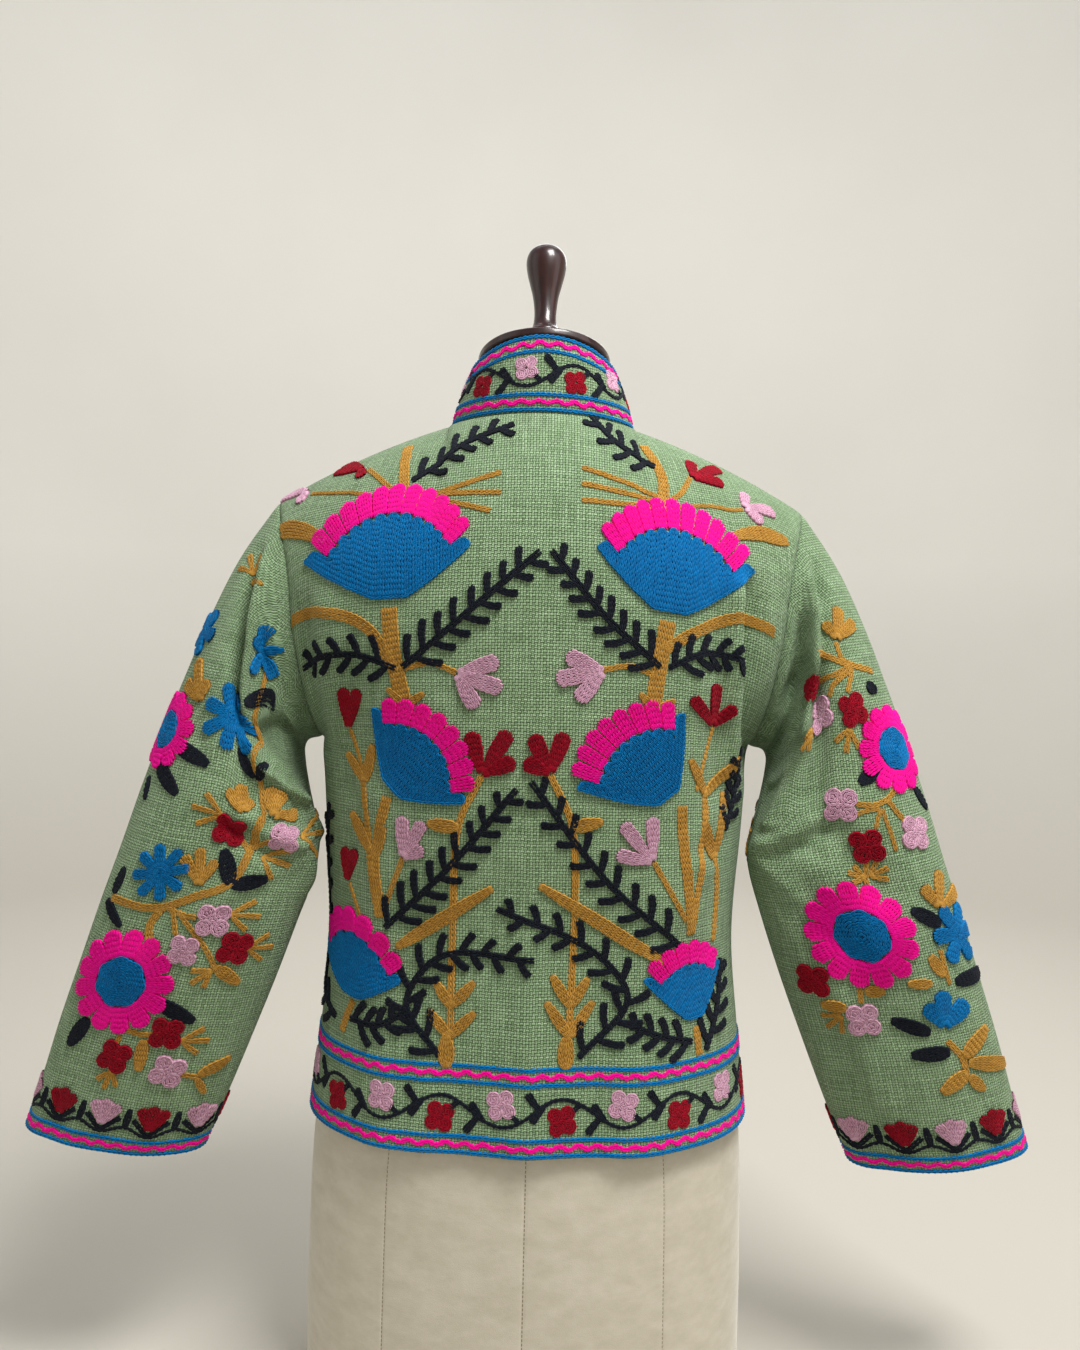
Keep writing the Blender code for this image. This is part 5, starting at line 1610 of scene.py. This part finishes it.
backRight = (
    ("sprig", "navy", 5, (-102, 540), (-59, 562), (-28, 605)),
    ("stem", "gold", 4, (-99, 567), (-106, 530), (-100, 498)),
    ("stem", "gold", 2, (-102, 508), (-74, 518), (-32, 528)),
    ("stem", "gold", 2, (-101, 504), (-73, 509), (-32, 514)),
    ("stem", "gold", 2, (-99, 499), (-71, 500), (-32, 500)),
    ("stem", "gold", 2, (-103, 504), (-119, 516), (-133, 536)),
    ("stem", "gold", 1.5, (-105, 500), (-137, 508), (-176, 512)),
    ("tulip", "crimson", 5, (-135, 536), (-141, 558), (-171, 560), (-165, 538)),
    ("tulip", "rose", 5, (-179, 514), (-186, 531), (-213, 518), (-194, 502)),
    ("leaf", "gold", 7, (-219, 496), (-159, 487)),
    ("fan", "blue", 11, (-99, 410), (-176, 458), (-44, 464)),
    ("stem", "gold", 6, (-99, 410), (-94, 380), (-90, 347)),
    ("stem", "gold", 4, (-97, 388), (-126, 407), (-157, 419), (-211, 418)),
    ("sprig", "navy", 8, (-94, 375), (-50, 412), (-13, 454)),
    ("sprig", "navy", 5, (-101, 375), (-132, 390), (-166, 387)),
    ("stem", "gold", 2, (-90, 368), (-71, 375), (-49, 371)),
    ("tulip", "rose", 6, (-51, 370), (-22, 380), (-15, 362), (-31, 347)),
    ("leaf", "gold", 4, (-91, 342), (-79, 354)),
    ("leaf", "gold", 4, (-92, 342), (-107, 350)),
    ("fan", "blue", 8, (-110, 266), (-115, 340), (-32, 280)),
    ("tulip", "crimson", 6, (-12, 291), (-22, 322), (2, 320), (8, 300)),
    ("stem", "gold", 2.5, (-12, 290), (-29, 252), (-33, 196), (-31, 80)),
    ("leaf", "gold", 6, (-29, 250), (-52, 255)),
    ("tulip", "crimson", 5, (-145, 332), (-121, 354), (-144, 367), (-163, 349)),
    ("stem", "gold", 1.5, (-146, 331), (-140, 310), (-129, 278)),
    ("leaf", "gold", 5, (-139, 276), (-122, 302)),
    ("leaf", "gold", 6, (-140, 274), (-203, 315)),
    ("stem", "gold", 3, (-141, 276), (-137, 230), (-130, 167)),
    ("leaf", "gold", 6, (-154, 222), (-138, 254)),
    ("leaf", "gold", 5, (-157, 222), (-163, 274)),
    ("stem", "gold", 4, (-116, 266), (-119, 232), (-129, 164)),
    ("tulip", "rose", 5, (-93, 223), (-92, 258), (-68, 254), (-64, 230)),
    ("stem", "gold", 2, (-94, 223), (-109, 197), (-122, 176)),
    ("stem", "gold", 2.5, (-157, 222), (-160, 186), (-156, 155)),
    ("sprig", "navy", 9, (-118, 156), (-56, 210), (-1, 280)),
    ("leaf", "gold", 6.5, (-104, 145), (-6, 205)),
    ("fan", "blue", 6, (-137, 91), (-164, 137), (-88, 132)),
    ("stem", "gold", 3, (-137, 91), (-139, 80), (-141, 69)),
    ("sprig", "navy", 9, (-39, 74), (-76, 118), (-46, 156), (21, 184)),
    ("sprig", "navy", 4, (-133, 80), (-104, 88), (-78, 98)),
    ("sprig", "navy", 5, (-166, 243), (-179, 274), (-178, 306)),
    ("sprig", "navy", 4, (-148, 71), (-162, 102), (-167, 132)),
    ("leaf", "gold", 7, (-29, 66), (-29, 90)),
    ("leaf", "gold", 5.5, (-31, 90), (-13, 116)),
    ("leaf", "gold", 5.5, (-32, 90), (-49, 116)),
    ("leaf", "gold", 5, (-31, 113), (-17, 136)),
    ("leaf", "gold", 5, (-32, 113), (-45, 134)),
)
leftSleeve = (
    ("stem", "gold", 3, (35, 212), (79, 213), (107, 228), (131, 244), (136, 270), (139, 302)),
    ("stem", "gold", 3, (82, 212), (77, 198), (81, 186)),
    ("stem", "gold", 2, (89, 214), (102, 212), (114, 212)),
    ("stem", "gold", 2, (98, 214), (127, 190), (140, 173)),
    ("stem", "gold", 2, (92, 216), (102, 195)),
    ("stem", "gold", 2, (140, 300), (135, 326), (126, 356), (148, 408), (145, 430)),
    ("stem", "gold", 2, (138, 273), (148, 282), (154, 286)),
    ("stem", "gold", 2, (135, 270), (126, 278)),
    ("stem", "gold", 2, (86, 109), (99, 108), (113, 111)),
    ("stem", "gold", 2, (82, 103), (80, 96)),
    ("rosette", "pink", 13, (69, 148), (55, 189)),
    ("flower", "blue", 8, (72, 242), (65, 264)),
    ("tulip", "gold", 4, (107, 237), (86, 258), (97, 266), (113, 259)),
    ("leaf", "navy", 5, (36, 216), (38, 238)),
    ("leaf", "navy", 5, (31, 209), (53, 192)),
    ("leaf", "navy", 7, (131, 243), (116, 268)),
    ("leaf", "navy", 7, (133, 242), (158, 248)),
    ("leaf", "navy", 8, (104, 138), (136, 126)),
    ("leaf", "navy", 8, (49, 110), (39, 84)),
    ("leaf", "navy", 7, (54, 344), (88, 332)),
    ("leaf", "navy", 7, (42, 324), (68, 305)),
    ("leaf", "navy", 4, (32, 312), (36, 294)),
    ("leaf", "navy", 7, (124, 393), (168, 410)),
    ("leaf", "navy", 5, (112, 354), (127, 334)),
    ("leaf", "navy", 5, (139, 354), (131, 333)),
    ("quatrefoil", "crimson", 11, (116, 285)),
    ("quatrefoil", "crimson", 11, (151, 190)),
    ("quatrefoil", "crimson", 11, (118, 113)),
    ("quatrefoil", "crimson", 11, (82, 85)),
    ("quatrefoil", "rose", 10, (160, 286)),
    ("quatrefoil", "rose", 11, (128, 212)),
    ("quatrefoil", "rose", 10, (112, 184)),
    ("quatrefoil", "rose", 11, (127, 80)),
    ("tulip", "blue", 5.2, (131, 442), (120, 464), (142, 448), (158, 420), (130, 421), (119, 450)),
    ("flower", "blue", 7, (101, 373), (91, 398)),
    ("flower", "blue", 5, (35, 436), (20, 450)),
    ("tulip", "gold", 5, (67, 380), (41, 393), (48, 413), (69, 398)),
    ("tulip", "gold", 5, (124, 305), (108, 318), (117, 328), (127, 315)),
    ("tulip", "gold", 5, (146, 304), (141, 328), (153, 326), (170, 308)),
    ("spray", "gold", 1.6, (108, 295), (83, 298)),
    ("spray", "gold", 1.6, (175, 288), (212, 284)),
    ("spray", "gold", 1.6, (147, 266), (173, 259)),
    ("spray", "gold", 1.6, (139, 218), (164, 217)),
    ("spray", "gold", 1.6, (160, 190), (183, 190)),
    ("spray", "gold", 1.8, (138, 171), (125, 158)),
    ("leaf", "gold", 6, (140, 174), (162, 160)),
    ("spray", "gold", 1.8, (130, 108), (153, 108)),
    ("leaf", "gold", 6, (102, 104), (104, 77)),
    ("stem", "gold", 2, (137, 78), (152, 74)),
    ("leaf", "gold", 6, (152, 76), (175, 90)),
    ("leaf", "gold", 4, (151, 73), (161, 58)),
    ("spray", "gold", 1.6, (83, 73), (80, 56)),
    ("spray", "gold", 1.8, (57, 494), (38, 508)),
    ("leaf", "gold", 4, (61, 488), (87, 496)),
    ("rosette", "pink", 11, (37, 352), (19, 378)),
)
rightSleeve = (
    ("stem", "gold", 2, (84, 444), (84, 430), (74, 424)),
    ("stem", "gold", 2.5, (118, 448), (87, 428), (50, 416)),
    ("stem", "gold", 2, (76, 424), (98, 418), (116, 415)),
    ("stem", "gold", 2, (77, 421), (101, 410), (108, 400)),
    ("stem", "gold", 2, (76, 421), (88, 403)),
    ("tulip", "gold", 5, (82, 446), (84, 464), (62, 472), (51, 458)),
    ("quatrefoil", "crimson", 9, (132, 422)),
    ("quatrefoil", "crimson", 11, (86, 388)),
    ("quatrefoil", "crimson", 11, (93, 280)),
    ("quatrefoil", "crimson", 11, (166, 173)),
    ("quatrefoil", "rose", 11, (121, 388)),
    ("quatrefoil", "rose", 11, (108, 314)),
    ("quatrefoil", "rose", 11, (50, 284)),
    ("quatrefoil", "rose", 11, (134, 138)),
    ("rosette", "pink", 12, (52, 352), (45, 386)),
    ("rosette", "pink", 13, (119, 209), (104, 250)),
    ("flower", "blue", 6, (35, 198), (20, 219)),
    ("tulip", "blue", 7, (72, 126), (82, 148), (65, 156), (45, 142)),
    ("tulip", "gold", 5, (47, 222), (56, 242), (34, 250), (12, 230)),
    ("spray", "gold", 1.8, (135, 382), (147, 368)),
    ("spray", "gold", 1.8, (92, 374), (98, 354)),
    ("stem", "gold", 2, (96, 314), (81, 312), (69, 315), (60, 322)),
    ("stem", "gold", 2, (70, 314), (63, 302), (57, 294)),
    ("stem", "gold", 1.6, (78, 309), (91, 308), (102, 303)),
    ("stem", "gold", 1.6, (78, 308), (84, 294)),
    ("stem", "gold", 1.6, (76, 308), (73, 290), (71, 274)),
    ("stem", "gold", 2, (96, 268), (101, 250)),
    ("spray", "gold", 1.6, (100, 255), (113, 260)),
    ("spray", "gold", 1.6, (96, 256), (80, 262)),
    ("stem", "gold", 2, (57, 189), (57, 170), (56, 160)),
    ("leaf", "gold", 6, (68, 186), (60, 168)),
    ("leaf", "gold", 5, (73, 164), (93, 167)),
    ("stem", "gold", 2, (131, 164), (132, 152)),
    ("leaf", "gold", 6, (145, 150), (164, 152)),
    ("spray", "gold", 1.6, (150, 143), (165, 130)),
    ("leaf", "gold", 6, (127, 161), (112, 162)),
    ("stem", "gold", 2.5, (72, 114), (63, 98), (62, 79)),
    ("leaf", "gold", 7, (61, 98), (30, 116)),
    ("leaf", "gold", 7, (58, 92), (8, 77)),
    ("leaf", "gold", 7, (62, 84), (87, 72)),
    ("leaf", "gold", 6, (60, 80), (49, 66)),
    ("leaf", "navy", 6, (64, 406), (53, 400)),
    ("leaf", "navy", 8, (68, 344), (90, 330)),
    ("leaf", "navy", 8, (50, 209), (72, 225)),
    ("leaf", "navy", 7, (50, 160), (9, 159)),
    ("leaf", "navy", 8, (85, 124), (112, 136)),
    ("leaf", "navy", 8, (73, 105), (104, 106)),
    ("leaf", "navy", 5, (38, 318), (25, 299)),
)


# the front's own motifs, near the neck and along its edge
frontNeck = (
    ("tulip", "crimson", 5, (196, 540), (186, 562), (206, 566)),
    ("stem", "gold", 2, (196, 540), (180, 515), (160, 490)),
    ("sprig", "navy", 5, (150, 500), (120, 520), (96, 545)),
    ("leaf", "gold", 6, (236, 500), (206, 470)),
    ("stem", "gold", 4, (112, 500), (110, 480), (106, 465)),
    ("leaf", "gold", 4, (106, 500), (84, 508)),
    ("leaf", "gold", 4, (108, 506), (92, 524)),
)
swapped = {"crimson": "rose", "rose": "crimson"}
# the rows of the back's left half from the fan downwards, which the fronts share
sharedFrom = 10
# in millimetres: where the borders end, and the heights of their lines and of the vine between them
hem = {
    "line": 1.5, "upperLine": 66, "vine": (14, 52), "gap": 47, "flower": 9, "halfBack": 275,
    "backVine": (-262, 268), "front": 290,
}
frontEdge = {
    "line": 1.5, "low": 14, "high": 560, "vineStart": 30,
    "shifts": {"left_front": (6, -6), "right_front": (4, -10)},
}
collarLines = {"line": 2.0, "half": 245, "vineHalf": 226, "vine": (13, 47), "gap": 40, "flower": 7.6}
# beyond this place, in millimetres from the outer edge, a sleeve's motifs are sewn again, mirrored and
# shifted, on the other sleeve's hidden side
hiddenSide = {"from": 52, "shift": (-6, 4)}


def hemLines(work, start, end, upperStart):
    lineBorder(work, (start, hem["line"]), (end, hem["line"]), (0, 1))
    lineBorder(work, (upperStart, hem["upperLine"]), (end, hem["upperLine"]), (0, -1))


def hemVine(work, start, end):
    vineBorder(work, start, end, *hem["vine"], hem["gap"], hem["flower"])


def embroider():
    works = {name: Embroidery(name) for name in panels}
    backWork, half = works["back_panel"], hem["halfBack"]
    sew(backWork, backLeft)
    sew(backWork, backRight)
    hemLines(backWork, -half, half, -half)
    hemVine(backWork, *hem["backVine"])
    line, low, high = frontEdge["line"], frontEdge["low"], frontEdge["high"]
    for name, shift in frontEdge["shifts"].items():
        work = works[name]
        sew(work, backLeft[sharedFrom:], shift=shift, swap=swapped)
        sew(work, frontNeck, shift=shift)
        hemLines(work, 0, hem["front"], low)
        lineBorder(work, (line, low), (line, high), (1, 0))
        hemVine(work, frontEdge["vineStart"], hem["front"])
    sleeveRows = (("left_sleeve", leftSleeve, rightSleeve), ("right_sleeve", rightSleeve, leftSleeve))
    for name, own, other in sleeveRows:
        work = works[name]
        sew(work, own)
        hidden = [row for row in other if np.mean([p[0] for p in row[3:]]) > hiddenSide["from"]]
        sew(work, hidden, flip=-1, shift=hiddenSide["shift"])
        cuff(work)
    collarWork, half, line = works["collar"], collarLines["half"], collarLines["line"]
    topBorder(collarWork)
    lineBorder(collarWork, (-half, line), (half, line), (0, 1))
    vineHalf, gap, size = collarLines["vineHalf"], collarLines["gap"], collarLines["flower"]
    vineBorder(collarWork, -vineHalf, vineHalf, *collarLines["vine"], gap, size)
    return {name: work.build() for name, work in works.items()}


# in millimetres from the outer edge and from the cuff's lower edge
cuffRow = {
    "half": 215, "line": 1.5, "scrollHalf": 212, "scroll": 22, "swing": 3.5, "gap": 39, "first": 8,
    "tulips": 5, "forkReach": 14, "fork": (20, 33), "bar": ((19.5, 25), (20.5, 42)), "barRows": 4,
    "tulipSize": 4.4, "tulip": ((0, 25), (-10, 45), (0, 48), (11, 44)), "tulipLayer": 0.0005,
}


def cuff(work):
    # lines at the edge, then tulips standing on a scroll with thick bars between them
    row = cuffRow
    lineBorder(work, (-row["half"], row["line"]), (row["half"], row["line"]), (0, 1))
    u = np.linspace(-row["scrollHalf"], row["scrollHalf"], 200)
    scroll = row["scroll"] - row["swing"] * np.cos(2 * np.pi * (u - row["first"]) / row["gap"])
    work.row("navy", np.stack([u, scroll], -1) * mm, 1.2)
    for i in range(-row["tulips"], row["tulips"] + 1):
        at = i * row["gap"] + row["first"]
        colour = "crimson" if i % 2 else "rose"
        low, high = row["fork"]
        for over in (-1, 1):
            tip = ((at + row["forkReach"] * over) * mm, high * mm)
            petal(work, "navy", (at * mm, low * mm), tip, 0.0044, 0.8)
        leaf(work, "navy", row["barRows"], [((at + u) * mm, v * mm) for u, v in row["bar"]])
        work.layer = row["tulipLayer"]
        tulip(work, colour, row["tulipSize"], [((at + u) * mm, v * mm) for u, v in row["tulip"]])
        work.layer = 0.0


sewn = embroider()
print("stitches made:", sum(len(item.data.polygons) // 8 for items in sewn.values() for item in items))


# a pale round studio with soft lights

# the low colour is painted shade, darkening the floor and the foot of the wall
studio = {
    "floorRadius": 2.0, "wallRadius": 2.9, "wallHeight": 3.0, "sides": 64, "below": 0.0005,
    "paint": paint(230, 228, 222), "patches": paint(220, 217, 210), "low": paint(188, 184, 174),
    "roughness": 0.95, "specular": 0.1, "worldColour": (0.93, 0.95, 1.0, 1.0), "worldStrength": 0.44,
}


def makeStudio():
    turns = np.radians(np.linspace(0, 90, 12))
    bend = studio["wallRadius"] - studio["floorRadius"]
    profile = [(0.02, 0.0), (1.0, 0.0)]
    profile += [(studio["floorRadius"] + bend * math.sin(t), bend * (1 - math.cos(t))) for t in turns]
    profile += [(studio["wallRadius"], studio["wallHeight"])]
    sides = studio["sides"]
    angles = np.linspace(0, 2 * math.pi, sides, endpoint=False)
    points = [(r * math.cos(a), r * math.sin(a), z - studio["below"]) for r, z in profile for a in angles]
    faces = [tuple(f) for f in gridFaces(len(profile), sides, True)] + [tuple(range(sides))]
    look = Look("studio_paint_and_floor_shade")
    mottled = look.noise(look.place(), 1.4, 3.0)
    height = look.add("ShaderNodeSeparateXYZ", {}, {0: look.place()}, 2)
    colour = look.blend(mottled, studio["paint"], studio["patches"])
    # painted shade: darker towards the floor
    colour = look.blend((height * 1.1 + 0.05).clamped(), studio["low"], colour)
    material = look.finish({
        "Base Color": colour, "Roughness": studio["roughness"], "Specular IOR Level": studio["specular"],
    })
    mesh = bpy.data.meshes.new("studio")
    mesh.from_pydata(points, [], faces)
    mesh.shade_smooth()
    item = linkMesh("studio", mesh, material)


def addLight(name, place, aim, size, power, warmth=(1.0, 1.0, 1.0)):
    lamp = bpy.data.lights.new(name, "AREA")
    lamp.shape, lamp.size, lamp.size_y = "RECTANGLE", size[0], size[1]
    lamp.energy, lamp.color = power, warmth
    item = bpy.data.objects.new(name, lamp)
    turn = (Vector(aim) - Vector(place)).to_track_quat("-Z", "Y").to_matrix().to_4x4()
    item.matrix_world = Matrix.Translation(place) @ turn
    bpy.context.collection.objects.link(item)


makeStudio()
# place, aim, size, power and colour of each light
addLight("overhead", (-0.55, 0.75, 2.2), (0.0, 0.0, 0.55), (0.7, 0.6), 43, (1.0, 0.985, 0.965))
addLight("roomSide", (-1.5, 0.5, 1.6), (0.0, 0.0, 0.5), (1.0, 1.4), 6)
addLight("otherSide", (1.5, 0.4, 1.5), (0.0, 0.0, 0.5), (1.0, 1.4), 2.6)
addLight("frontFill", (-0.3, -1.6, 1.9), (0.0, 0.0, 0.5), (1.2, 1.0), 13)
addLight("wallWash", (0.0, -0.6, 2.7), (0.0, -2.8, 1.5), (2.0, 0.6), 25, (1.0, 0.995, 0.98))
world = bpy.data.worlds.new("softRoom")
world.use_nodes = True
background = world.node_tree.nodes["Background"]
background.inputs["Color"].default_value = studio["worldColour"]
background.inputs["Strength"].default_value = studio["worldStrength"]
bpy.context.scene.world = world
bpy.context.scene.view_settings.view_transform = "Standard"
print("studio made")
